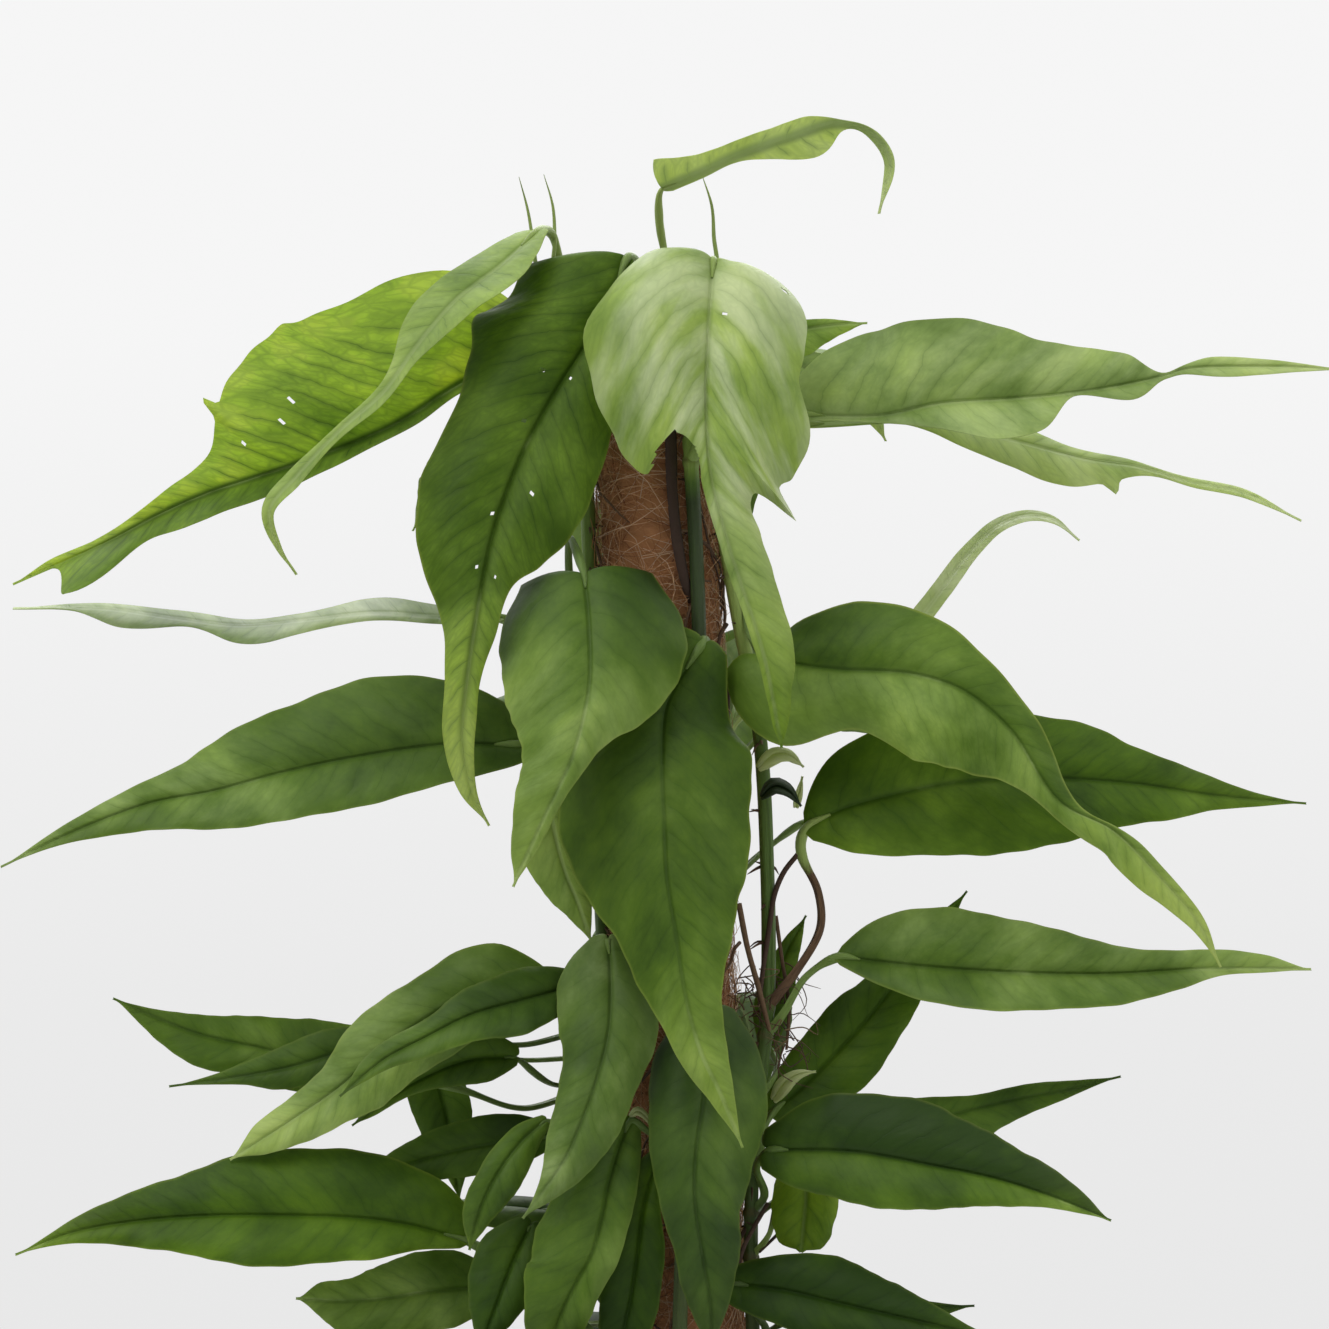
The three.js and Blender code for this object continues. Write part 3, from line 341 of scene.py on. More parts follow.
            rib=[[32, -28, 325], [66, -38, 324], [95, -44, 319], [124, -48, 313], [146, -50, 306],
                [171, -50, 296]],
            right=[9, 16, 20, 20, 16, 12, 7, 3], left=[9, 20, 24, 25, 21, 16, 12, 7],
            rise=[0.4, -0.35], bow=0.15, wave=0.8, node=300, via=[[26, -20, 318]],
            look=(0.77, 0.15, 0.2, 0.15), halves=(0.26, -0.17), along=[0.26, 0.03, -0.05, -0.08],
        ),
        dict(
            rib=[[44, 2, 322], [46, -8, 308], [45, -13, 294], [44, -16, 283]],
            right=[5, 12, 15, 15, 13, 9], left=[5, 12, 14, 14, 13, 9],
            rise=[-0.2, -0.2], bow=0.2, wave=0.4, node=282, via=[[36, 2, 310]],
            look=(0.31, 0, 0, 0.5),
        ),
        dict(
            rib=[[17, -29, 270], [39, -33, 267], [60, -36, 262], [95, -39, 254], [125, -40, 247]],
            right=[8, 12, 15, 15, 13, 10, 6, 3], left=[8, 12, 17, 17, 14, 11, 7, 3],
            rise=[0.4, -0.4], bow=0.15, wave=0.8, node=246,
            look=(1, 0.05, 0, 0.15),
        ),
        dict(
            rib=[[30, 20, 369], [32, 22, 386], [37, 24, 404], [46, 24, 421]],
            right=[4, 8, 9, 7, 4], left=[4, 7, 7, 5, 3],
            rise=[0, 0], bow=0.1, wave=0.3, node=346, via=[[34, 10, 360]],
            look=(0.62, 0.1, 0.2, 0.4),
        ),
    ],
    "back_left": [
        dict(
            # the broad leaf spreading to the upper left
            rib=[[-61, 14, 654], [-94, 6, 640], [-123, 0, 622], [-163, -6, 606], [-197, -10, 595],
                [-216, -12, 587], [-241, -14, 574], [-279, -16, 557]],
            right=[12, 43, 55, 61, 60, 53, 36, 17, 10, 6, 5, 4],
            left=[12, 8, 4, 5, 5, 8, 11, 12, 13, 11, 25, 2],
            fan=[-18, 0, 10, 15, 20, 25, 30, 30, 30, 38, 54, 40, 30],
            rise=[-0.25, 1.6], bow=0.1, wave=1.6, node=610, via=[[-46, 16, 640]],
            holes=[(-163.6, 630.4), (-184.9, 615.2), (-170.1, 625)], teeth=[("right", 0.5, 0.009, 9)],
            look=(0.2, 0.3, 0.1, 1), halves=(0.25, 0),
        ),
        dict(
            # the narrow leaf that hangs twisted in front of it
            rib=[[-65, -8, 701], [-79, -22, 688], [-98, -36, 673], [-114, -44, 654], [-127, -48, 636],
                [-145, -50, 620], [-163, -50, 601], [-174, -50, 587], [-170, -48, 572], [-163, -46, 561]],
            right=[9, 12, 12, 12, 5, 3, 3, 5, 3], left=[5, 9, 11, 8, 4, 4, 3, 4, 2],
            fan=[-50, -10, 15, 25, 30, 30],
            rise=[-1.1, 1.4], bow=0.1, wave=0.5, node=640, via=[[-52, 20, 674], [-58, 10, 700]],
            look=(0.24, 0.1, 0.45, 0.5),
        ),
        dict(
            # the leaf held level at eye height, painted pale with strong sheen in place of the sky's
            # reflection at a grazing angle
            rib=[[-79, 14, 543], [-104, 12, 543.5], [-131, 10, 545], [-161, 8, 542], [-186, 6, 540],
                [-213, 4, 543], [-243, 2, 547], [-279, 0, 547]],
            right=[4, 5, 7, 4, 3, 4, 3, 2], left=[3, 3, 3, 5, 9, 3, 8, 1.5],
            rise=[-4, 2.2], bow=0.3, wave=1.3, node=520, via=[[-58, 18, 536]],
            look=(0.44, 0.1, 1.5, 0.4),
        ),
        dict(
            rib=[[-120, 6, 355], [-149, 2, 360], [-175, 0, 366], [-205, -3, 373], [-238, -5, 387]],
            right=[6, 16, 17, 15, 13, 10, 6.5, 2.5], left=[6, 12, 14, 14, 14, 14, 10, 5],
            rise=[-0.3, 0.3], bow=0.1, wave=0.6, node=326, via=[[-70, 20, 342], [-96, 10, 350]],
            look=(0.62, 0.15, 0.3, 0.3),
        ),
        dict(
            rib=[[-120, -8, 369], [-144, -10, 365], [-165, -12, 359], [-186, -13, 355], [-215, -13, 351]],
            right=[4, 9, 11, 9, 5.5, 2], left=[4, 8, 10, 9, 4, 1.5],
            rise=[-0.3, 0.2], bow=0.1, wave=0.4, node=350, via=[[-70, 18, 368], [-98, -2, 370]],
            look=(0.74, 0.1, 0.3, 0.3),
        ),
        dict(
            rib=[[-74, -12, 363], [-92, -16, 362], [-108, -19, 356], [-124, -20, 347], [-140, -19, 335]],
            right=[5, 12, 14, 12, 8, 4], left=[4, 10, 9, 6, 4, 3],
            rise=[0, 0.2], bow=0.1, wave=0.4, node=336, via=[[-58, 2, 352]],
            look=(0.72, 0.05, 0.2, 0.2),
        ),
        dict(
            rib=[[-108, 24, 369], [-105, 24, 353], [-101, 22, 337], [-98, 20, 320], [-96, 18, 304]],
            right=[5, 13, 14, 13, 9, 4], left=[5, 10, 12, 11, 8, 4],
            rise=[0, 0.2], bow=0.1, wave=0.4, node=340, via=[[-72, 34, 362]],
            look=(0.6, 0.05, 0.3, 0.3),
        ),
        dict(
            rib=[[-59, -2, 330], [-79, -6, 328], [-100, -9, 324], [-120, -11, 318], [-145, -12, 308]],
            right=[6, 11, 12, 11, 8, 4], left=[5, 10, 12, 11, 8, 4],
            rise=[-0.3, 0.1], bow=0.1, wave=0.4, node=282, via=[[-48, 8, 316]],
            look=(0.72, 0, 0.2, 0.1),
        ),
        dict(
            rib=[[-83, -6, 269], [-108, -11, 267], [-128, -14, 264], [-145, -15, 263], [-163, -15, 264]],
            right=[6, 15, 16, 14, 10, 8], left=[6, 14, 17, 18, 15, 7],
            rise=[-0.3, 0.3], bow=0.1, wave=0.6, node=232, via=[[-56, 8, 254]],
            look=(0.46, 0.2, 0.4, 0.3),
        ),
    ],
    "back_right": [
        dict(
            # the big leaf pointing right at the top
            rib=[[43, 0, 626], [76, -6, 626], [101, -10, 631], [131, -12, 633], [161, -14, 636],
                [192, -14, 642], [202, -14, 645], [235, -12, 646], [267, -10, 645]],
            right=[3, 2, 4, 11, 18, 15, 1.5, 8, 1.5, 5, 4, 2],
            left=[12, 30, 36, 36, 32, 25, 20, 14, 1.5, 5, 4, 2],
            rise=[1.2, -0.35], bow=0.15, wave=1.2, node=590, via=[[24, 14, 616]],
            look=(0.32, 0.2, 0.8, 0.3), along=[0.14, 0.02, -0.02, -0.06],
        ),
        dict(
            rib=[[43, 16, 622], [72, 18, 624], [97, 18, 624], [119, 17, 619], [142, 16, 613],
                [162, 14, 608], [182, 12, 605], [203, 10, 599], [226, 8, 594], [249, 6, 583]],
            right=[2, 2, 2, 8, 12, 16, 9, 2.5, 2.5, 2], left=[4, 8, 11, 12, 9, 5, 4, 2, 2.5, 2],
            rise=[0.8, -1.2], bow=0.1, wave=0.8, node=570, via=[[24, 22, 606]],
            teeth=[("right", 0.6, 0.012, 6)],
            look=(0.1, 0.2, 0.8, 0.4),
        ),
        dict(
            rib=[[80, 14, 527], [95, 14, 546], [104, 12, 558], [114, 10, 571], [125, 8, 581], [137, 6, 585],
                [148, 4, 583], [158, 4, 575]],
            right=[3, 4, 4, 4, 3.5, 3, 2], left=[3, 4, 4, 4, 3.5, 3, 2],
            rise=[1.6, -1.6], bow=0, wave=0.3, node=486, via=[[40, 22, 500], [64, 16, 512]],
            look=(0.0, 0, 1.5, 0.3),
        ),
        dict(
            rib=[[19, 20, 654], [39, 20, 660], [56, 20, 663], [71, 18, 664]],
            right=[4, 10, 12, 8, 4], left=[4, 6, 5, 4, 2],
            rise=[0.3, -0.3], bow=0.1, wave=0.3, node=629, via=[[8, 22, 646]],
            look=(0.3, 0.1, 0.3, 0.6),
        ),
        dict(
            rib=[[56, 4, 324], [84, 6, 333], [109, 8, 340], [134, 10, 346], [150, 10, 349], [175, 10, 355]],
            right=[4, 10, 14, 16, 12, 8, 5, 2], left=[4, 8, 11, 9, 6, 6, 5, 2.5],
            rise=[0.4, -0.4], bow=0.1, wave=0.5, node=280, via=[[36, 16, 306]],
            look=(0.72, 0.1, 0.3, 0.3),
        ),
        dict(
            rib=[[39, 12, 255], [68, 10, 258], [93, 8, 260], [115, 6, 261]],
            right=[4, 9, 10, 8, 4], left=[3, 7, 7, 5, 2],
            rise=[0.4, -0.4], bow=0.1, wave=0.3, node=236,
            look=(0.85, 0.05, 0.2, 0.2),
        ),
    ],
}


# Leaves at the back and over the pot's rim. Each row is [azimuth, height of the blade's base, its
# distance from the pole, length, half width, pitch at the base, pitch at the tip, sideways swing].
ARCHING = {
    "front": [[-112, 226, 56, 128, 24, 24, -78, -14], [-66, 220, 58, 120, 23, 16, -82, 10]],
    "left": [[-150, 222, 60, 138, 25, 26, -76, -16], [176, 238, 58, 112, 21, 10, -60, 18]],
    "right": [[-28, 224, 60, 132, 24, 20, -80, 14], [8, 238, 60, 116, 21, 8, -56, -12]],
    "back_left": [
        [102, 664, 46, 112, 25, 38, -60, 26], [136, 628, 56, 122, 22, -4, -40, -10],
        [98, 584, 54, 156, 30, 12, -84, -14], [154, 503, 62, 128, 19, 0, -28, -8],
        [122, 492, 50, 140, 27, 34, -58, 22], [92, 430, 54, 160, 29, 6, -82, 12],
        [150, 392, 58, 108, 19, -4, -50, -12], [108, 334, 52, 140, 25, 26, -70, -14],
        [152, 296, 60, 118, 19, 4, -24, 8], [126, 236, 58, 128, 24, 18, -84, 16],
    ],
    "back_right": [
        [74, 628, 46, 138, 28, 6, -78, 10], [38, 650, 52, 106, 20, 8, -40, 14],
        [70, 530, 50, 150, 26, 12, -70, 16], [28, 506, 62, 120, 18, 0, -24, 10],
        [84, 448, 52, 136, 26, 12, -70, 2], [30, 458, 66, 104, 15, 2, -6, -4],
        [70, 378, 50, 130, 22, 12, -76, 12], [26, 336, 62, 104, 18, 2, -36, 10],
        [90, 300, 54, 140, 25, 14, -76, -8], [44, 232, 58, 124, 24, 26, -64, 20],
    ],
}

# The thin furled tips above the plant, as seen from foot to tip
SPEARS = {
    "back_left": [
        [[-64, 8, 686], [-65.6, 8, 695], [-68, 8, 710], [-71.7, 6, 724]],
        [[-57, 10, 684], [-57, 10, 698], [-57.8, 10, 712], [-61.5, 10, 725]],
    ],
    "front": [[[8.6, -6, 681], [8.2, -6, 700], [7.4, -5, 712], [3.3, -4, 725]]],
}

# Pale and dry scales at the nodes, in the same terms as the leaves
SHEATHS = [
    dict(
        rib=[[27, -12, 482], [33, -13, 487], [39, -14, 487], [45, -14, 482]],
        right=[2, 4, 3.6, 2.2], left=[2, 3, 2.6, 1.6], rise=[0.5, -0.6], bow=0.5, wave=0.4,
        look=(0, 0.2, 0.5, 1.0),
    ),
    dict(
        rib=[[28, -16, 470], [33, -19, 474], [39, -20, 472], [44, -19, 466]],
        right=[1.5, 3, 3, 1.8], left=[1.5, 3.4, 3.2, 1.6], rise=[0.7, -0.7], bow=0.7, wave=0.5,
        look=(0.85, 0.0, 0.3, 0.2),
    ),
    dict(
        rib=[[42, -5, 466], [43, -6, 471], [44.5, -6, 478]],
        right=[1.4, 1.8, 1.2], left=[1.4, 1.6, 1.0], rise=[0.5, 0.5], bow=0.6, wave=0.2,
        look=(0.1, 0.3, 0.5, 1.0),
    ),
    dict(
        rib=[[33, -6, 346], [37, -8, 352], [43, -9, 356], [50, -9, 357]],
        right=[2, 3.6, 3, 1.6], left=[2, 3, 2.6, 1.5], rise=[0.5, -0.5], bow=0.6, wave=0.4,
        look=(0.12, 0.2, 0.5, 1.0),
    ),
    dict(
        rib=[[-26, -33, 339], [-23, -35, 341], [-19, -35, 338], [-17, -34, 333]],
        right=[1, 1.8, 1.6, 1], left=[1, 1.6, 1.4, 1], rise=[0.5, -0.5], bow=0.6, wave=0.3,
        look=(0.15, 0.2, 0.4, 1.0),
    ),
]

# How old each stem looks, from 0 to 1, at heights above the pot's underside
OTHER_AGES = ([150, 400, 660], [0.95, 0.7, 0.3])
STEM_AGES = {
    "front": ([150, 400, 440, 590, 604, 660], [0.95, 0.75, 1.0, 1.0, 0.2, 0.3]),
    "right": ([150, 400, 500, 530, 600, 622], [0.95, 0.7, 0.5, 0.1, 0.1, 0.3]),
}

# Roots and old stalks that show beside the pole, as seen, with their radius and how brown they are. The
# last is a thick near-black root that stands in for the shadow along the left of the front stem.
ROOT_LINES = [
    [
        [[42.5, -3, 446], [37, -5, 439], [33.2, -7, 430], [31, -8, 416], [28, -10, 396], [27, -12, 384]],
        1.1, 0.95,
    ],
    [[[18.5, -20, 426], [22, -19, 408], [26.7, -18, 391], [31, -14, 374]], 1.2, 0.3],
    [[[33.7, -2, 421], [36, -3, 404], [39, -4, 384], [38, -4, 366]], 0.8, 0.5],
    [[[30.4, -10, 303], [24, -16, 292], [19.7, -20, 283], [16.4, -24, 264]], 0.9, 0.95],
    [[[44, 2, 300], [36, -4, 292], [27, -12, 283]], 0.7, 0.9],
    # painted shadow: a near-black root along the left of the front stem, in place of the shadow there
    [
        [[-9.5, -25, 622], [-9, -26, 600], [-8, -26.5, 585], [-6, -26, 570], [-3, -23, 556], [1, -16, 545]],
        2.3, 1.6,
    ],
]


# Curves and surfaces

def unit(vectors):
    """Vectors of length one."""
    return vectors / np.maximum(np.linalg.norm(vectors, axis=-1, keepdims=True), 1e-12)


def seen(point):
    """A place in metres from one given as [x, depth, z] in millimetres, as seen from the front."""
    x, depth, z = point
    return (EYE + (np.array([x, 0.0, z]) - EYE) * (1 - depth / EYE[1])) * MM


def smooth(value, low, high):
    """0 below low, 1 above high and an S between."""
    share = np.clip((value - low) / (high - low), 0, 1)
    return share * share * (3 - 2 * share)


class Path:
    """A smooth curve through points, walked by its length from 0 to 1."""

    def __init__(self, points):
        inner = np.array(points, float)
        self.knots = np.vstack([2 * inner[0] - inner[1], inner, 2 * inner[-1] - inner[-2]])
        self.spans = len(inner) - 1
        self.steps = np.linspace(0, 1, PATH_STEPS + 1)
        strides = np.linalg.norm(np.diff(self.place(self.steps), axis=0), axis=1)
        self.walked = np.concatenate([[0], np.cumsum(strides)])
        self.length = self.walked[-1]

    def place(self, t):
        spot = np.clip(t, 0, 1) * self.spans
        i = np.minimum(spot.astype(int), self.spans - 1)
        f = (spot - i)[:, None]
        p0, p1, p2, p3 = (self.knots[i + k] for k in range(4))
        legs = ((p0, p1), (p1, p2), (p2, p3))
        d0, d1, d2 = (np.sqrt(np.linalg.norm(b - a, axis=1))[:, None] for a, b in legs)
        start = ((p1 - p0) / d0 - (p2 - p0) / (d0 + d1) + (p2 - p1) / d1) * d1
        end = ((p2 - p1) / d1 - (p3 - p1) / (d1 + d2) + (p3 - p2) / d2) * d1
        square = 3 * (p2 - p1) - 2 * start - end
        cube = 2 * (p1 - p2) + start + end
        return p1 + f * (start + f * (square + f * cube))

    def at(self, share):
        return self.place(np.interp(np.asarray(share) * self.length, self.walked, self.steps))

    def ahead(self, share):
        share = np.asarray(share, float)
        return unit(self.at(np.minimum(share + 0.003, 1)) - self.at(np.maximum(share - 0.003, 0)))


def along(values, t):
    """Smooth values between even steps, down to nothing past the last."""
    table = np.array([*values, 0.0])
    last = len(table) - 1
    spot = np.clip(t, 0, 1) * last
    i = np.minimum(spot.astype(int), last - 1)
    f = spot - i
    p1, p2 = table[i], table[i + 1]
    p0 = np.where(i > 0, table[np.maximum(i - 1, 0)], p1)
    p3 = np.where(i + 2 <= last, table[np.minimum(i + 2, last)], p2)
    curve = (
        (2 * f**3 - 3 * f**2 + 1) * p1 + (f**3 - 2 * f**2 + f) * (p2 - p0) / 2
        + (3 * f**2 - 2 * f**3) * p2 + (f**3 - f**2) * (p3 - p1) / 2
    )
    return np.maximum(curve, LEAST_REACH)


def pole_axis(z):
    """How far to the side the pole's middle stands at a height, all in millimetres."""
    return -POLE_LEAN * (z - SOIL_TOP) / (POLE_TOP - SOIL_TOP)


def round_pole(z, degrees, distance):
    """Places round the pole in metres, from millimetres and the angle from the front to the right."""
    angle = np.radians(degrees)
    x = pole_axis(z) + distance * np.sin(angle)
    y = -distance * np.cos(angle)
    return np.stack(np.broadcast_arrays(x, y, z), axis=-1) * MM


class Skin:
    """The places, faces, slots and coordinates of one mesh, gathered piece by piece."""

    def __init__(self):
        self.places, self.faces, self.slots = [], [], []
        self.maps = {name: [] for name in COORDINATES}
        self.count = 0

    def add(self, places, faces, slot=0, place=(0, 0), span=(0, 0), kind=(0.5, 0.5), tone=(0, 0)):
        places = np.asarray(places, float)
        size = len(places)
        for name, value in zip(COORDINATES, (place, span, kind, tone)):
            self.maps[name].append(np.broadcast_to(np.asarray(value, float), (size, 2)))
        self.places.append(places)
        slots = slot if np.ndim(slot) else [slot] * len(faces)
        self.faces.extend([[corner + self.count for corner in face] for face in faces])
        self.slots.extend(int(one) for one in slots)
        self.count += size

    def piece(self, name, materials, sharp=50):
        """The gathered mesh as a smooth-shaded object."""
        mesh = bpy.data.meshes.new(name)
        mesh.from_pydata(np.vstack(self.places).tolist(), [], self.faces)
        corners = np.empty(len(mesh.loops), int)
        mesh.loops.foreach_get("vertex_index", corners)
        for label in COORDINATES:
            layer = mesh.uv_layers.new(name=label)
            values = np.vstack(self.maps[label])[corners]
            layer.data.foreach_set("uv", values.astype(np.float32).ravel())
        for one in materials:
            mesh.materials.append(one)
        mesh.polygons.foreach_set("material_index", self.slots)
        mesh.polygons.foreach_set("use_smooth", [True] * len(mesh.polygons))
        mesh.set_sharp_from_angle(angle=math.radians(sharp))
        mesh.update()
        made = bpy.data.objects.new(name, mesh)
        bpy.context.scene.collection.objects.link(made)
        return made


def grid_faces(rows, columns, closed=False, start=0):
    """Faces of a sheet of rows by columns of places. closed joins the last column to the first."""
    faces = []
    for i in range(rows - 1):
        for j in range(columns if closed else columns - 1):
            a = start + i * columns + j
            b = start + i * columns + (j + 1) % columns
            faces.append([a, b, b + columns, a + columns])
    return faces


def settle(piece, slot, *nodes):
    """Hangs the piece on the root body and hides the solids that it stands for. slot, its finish, is not
    used.
    """
    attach(piece, ROOT)
    if nodes:
        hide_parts(*nodes)


def rod(skin, path, radii, sides, kind, rows=None, section=None):
    """A closed tube along a path. section gives the share of the radius at each angle and row."""
    rows = rows or max(6, int(path.length / (2.5 * MM)))
    share = np.linspace(0, 1, rows)
    middle = path.at(share)
    ahead = path.ahead(share)
    wide = np.interp(share, np.linspace(0, 1, len(radii)), radii)
    upward = UP - ahead * (ahead @ UP)[:, None]
    steep = np.linalg.norm(upward, axis=1) < 0.15
    normals = np.empty_like(middle)
    normal = upward[0] if not steep[0] else np.cross(ahead[0], [0.0, 1.0, 0.2])
    for i in range(rows):
        normal = normal - ahead[i] * (normal @ ahead[i])
        if not steep[i]:
            normal = unit(normal) * 0.9 + unit(upward[i]) * 0.1
        normal = unit(normal)
        normals[i] = normal
    across = np.cross(ahead, normals)
    angles = np.arange(sides) / sides * 2 * np.pi
    shape = np.ones((rows, sides)) if section is None else section(angles[None, :], share[:, None])
    reach = wide[:, None] * shape
    ring = (
        middle[:, None, :]
        + reach[..., None] * (np.cos(angles)[None, :, None] * normals[:, None, :])
        + reach[..., None] * (np.sin(angles)[None, :, None] * across[:, None, :])
    )
    faces = grid_faces(rows, sides, closed=True)
    faces.append(list(range(sides))[::-1])
    faces.append([(rows - 1) * sides + j for j in range(sides)])
    u, v = np.meshgrid(angles / (2 * np.pi), share)
    place = np.stack([v, u], axis=-1).reshape(-1, 2)
    span = np.stack([v * path.length * 10, u * 0.12], axis=-1).reshape(-1, 2)
    if callable(kind):
        kind = np.repeat(kind(share), sides, axis=0)
    skin.add(ring.reshape(-1, 3), faces, 0, place, span, kind)


# Leaves

def prepare(leaf, index, vine):
    """The leaf with its path, the way its upper side faces and its own seed of small differences."""
    ready = dict(leaf)
    points = leaf["points"] if "points" in leaf else [seen(point) for point in leaf["rib"]]
    ready["path"] = Path(points)
    ready["face"] = leaf.get("face", TO_EYE)
    ready["seed"] = random.Random(f"{vine} {index}").random()
    return ready


def arching_leaf(row):
    """A leaf that reaches out from the pole and droops, from one row of the table."""
    azimuth, height, distance, length, half, first, last, swing = row

    def outward(degrees):
        angle = math.radians(degrees)
        return np.array([math.cos(angle), math.sin(angle), 0.0])

    point = outward(azimuth) * distance + [pole_axis(height), 0, height]
    points = [point.copy()]
    step = length / ARCH_STEPS
    for i in range(ARCH_STEPS):
        share = (i + 0.5) / ARCH_STEPS
        pitch = math.radians(first + (last - first) * share)
        point = point + outward(azimuth + swing * share * 2) * step * math.cos(pitch)
        point[2] += step * math.sin(pitch)
        points.append(point.copy())
    wide = [share * half for share in SPEAR]
    age = np.interp(height, [230, 660], [0.85, 0.32])
    return dict(
        points=np.array(points) * MM, face=unit(outward(azimuth + swing * 2) + UP),
        right=wide, left=wide, rise=[-0.2, -0.2], bow=0.2, wave=0.8, node=height - 34,
        look=(age, 0.2, 0.4, 0.4),
    )


def leaves_of(vine):
    rows = LEAVES[vine] + [arching_leaf(row) for row in ARCHING[vine]]
    return [prepare(leaf, index, vine) for index, leaf in enumerate(rows)]


def blade_sheet(leaf, t, s):
    """Places on the middle of the blade, in metres, and its reach. t runs from base to tip, s from the
    left edge at -1 to the right edge at 1."""
    ahead = leaf["path"].ahead(t)
    right = unit(np.cross(ahead, leaf["face"]))
    out = unit(np.cross(right, ahead))
    seed = leaf["seed"] * 6
    sides = []
    for name, phase in (("left", 0.0), ("right", 2.1)):
        reach = along(leaf[name], t)
        broad, fine = np.sin(31 * t + seed + phase), np.sin(83 * t + 2 * seed + phase)
        reach = reach * (1 + 0.014 * broad + 0.008 * fine)
        for side, where, width, amount in leaf.get("teeth", ()):
            if side == name:
                reach = reach + amount * np.exp(-(((t - where) / width) ** 2))
        opening = 0.3 + 0.7 * np.sqrt(np.clip(t / 0.025, 0, 1))
        sides.append(np.maximum(reach * opening, LEAST_REACH))
    lefts, rights = sides
    on_left = s[None, :] < 0
    reach = np.where(on_left, lefts[:, None], rights[:, None])
    share = np.abs(s)[None, :]
    rise = np.where(on_left, leaf["rise"][1], leaf["rise"][0])
    if "fan" in leaf:
        fan = np.interp(t, np.linspace(0, 1, len(leaf["fan"])), leaf["fan"])
    else:
        fan = FORWARD_FAN * np.minimum(1, t * 2) - BACK_FAN * np.exp(-t / 0.1) - LOBE_FAN * np.exp(-t / 0.025)
    vein = np.radians(fan)[:, None]
    rows = t[:, None]
    ripple = leaf["wave"] * share**2 * np.sin(np.pi * (rows * 9 + np.where(on_left, 0.7, 0)))
    bulge = reach * (rise * share + leaf["bow"] * 4 * share * (1 - share))
    away = share * reach
    length = leaf["path"].length / MM
    ripe = smooth(reach, 4, 14)
    lane = (rows * length + leaf["seed"] * 700 - VEIN_SWEEP * away) / VEIN_GAP + np.where(on_left, 0.5, 0)
    quilt = -0.07 * np.cos(2 * np.pi * lane) * smooth(share, 0.04, 0.3) * (1 - smooth(share, 0.8, 1)) * ripe
    swell = 0.9 * np.sin(7.3 * rows + seed) * np.sin(2.4 * share + seed * 2 + np.where(on_left, 1.5, 0))
    swell = swell * share * ripe
    flutter = 0.55 * share**3 * np.sin(52 * rows + 3 * seed + np.where(on_left, 2, 0)) * ripe
    groove = -0.55 * np.exp(-((away / 1.3) ** 2)) * (1 - 0.8 * rows) * smooth(reach, 1, 8)
    outward = bulge + ripple * np.minimum(1, reach / 10) + quilt + swell + flutter + groove
    sideways = np.where(on_left, -1, 1) * away * np.cos(vein)
    forward = away * np.sin(vein)
    places = (
        leaf["path"].at(t)[:, None, :]
        + sideways[..., None] * MM * right[:, None, :]
        + forward[..., None] * MM * ahead[:, None, :]
        + outward[..., None] * MM * out[:, None, :]
    )
    return places, reach * np.where(on_left, -1, 1) * share


def edge_walls(kept, columns, under):
    """Faces that close the sheet round its edge and round each cell that is left out."""
    rows, lanes = kept.shape
    framed = np.zeros((rows + 2, lanes + 2), bool)
    framed[1:-1, 1:-1] = kept
    walls = []
    for i, j in zip(*np.nonzero(kept)):
        a = i * columns + j
        b, c, d = a + 1, a + 1 + columns, a + columns
        beside = (framed[i, j + 1], framed[i + 1, j + 2], framed[i + 2, j + 1], framed[i + 1, j])
        for whole, (p, q) in zip(beside, ((a, b), (b, c), (c, d), (d, a))):
            if not whole:
                walls.append([q, p, under + p, under + q])
    return walls


def as_seen(places):
    """Where places stand in the picture from the front, as x and z in millimetres, and their scale."""
    scale = 1 + places[..., 1] / MM / -EYE[1]
    x, z = (EYE[i] + (places[..., i] / MM - EYE[i]) / scale for i in (0, 2))
    return x, z, scale


def eaten(leaf, sheet, layers):
    """Which cells of the sheet stay once pinholes and bitten notches are cut, with their edges trimmed."""
    kept = np.ones((sheet.shape[0] - 1, sheet.shape[1] - 1), bool)
    cell_x, cell_z, _ = as_seen((sheet[:-1, :-1] + sheet[1:, 1:]) / 2)
    for x, z in leaf.get("holes", ()):
        i, j = np.unravel_index(np.argmin((cell_x - x) ** 2 + (cell_z - z) ** 2), kept.shape)
        kept[i, j] = False
        for layer in layers:
            corners = layer[i : i + 2, j : j + 2]
            corners += (corners.mean(axis=(0, 1)) - corners) * 0.3
    for x, z, wide, tall in leaf.get("bites", ()):
        kept &= ((cell_x - x) / wide) ** 2 + ((cell_z - z) / tall) ** 2 > 1
        for layer in layers:
            side, up, scale = as_seen(layer)
            depth = np.hypot((side - x) / wide, (up - z) / tall)
            push = np.where((depth > 0.4) & (depth < 1), 1 / np.maximum(depth, 0.4) - 1, 0) * scale * MM
            layer[..., 0] += (side - x) * push
            layer[..., 2] += (up - z) * push
    return kept


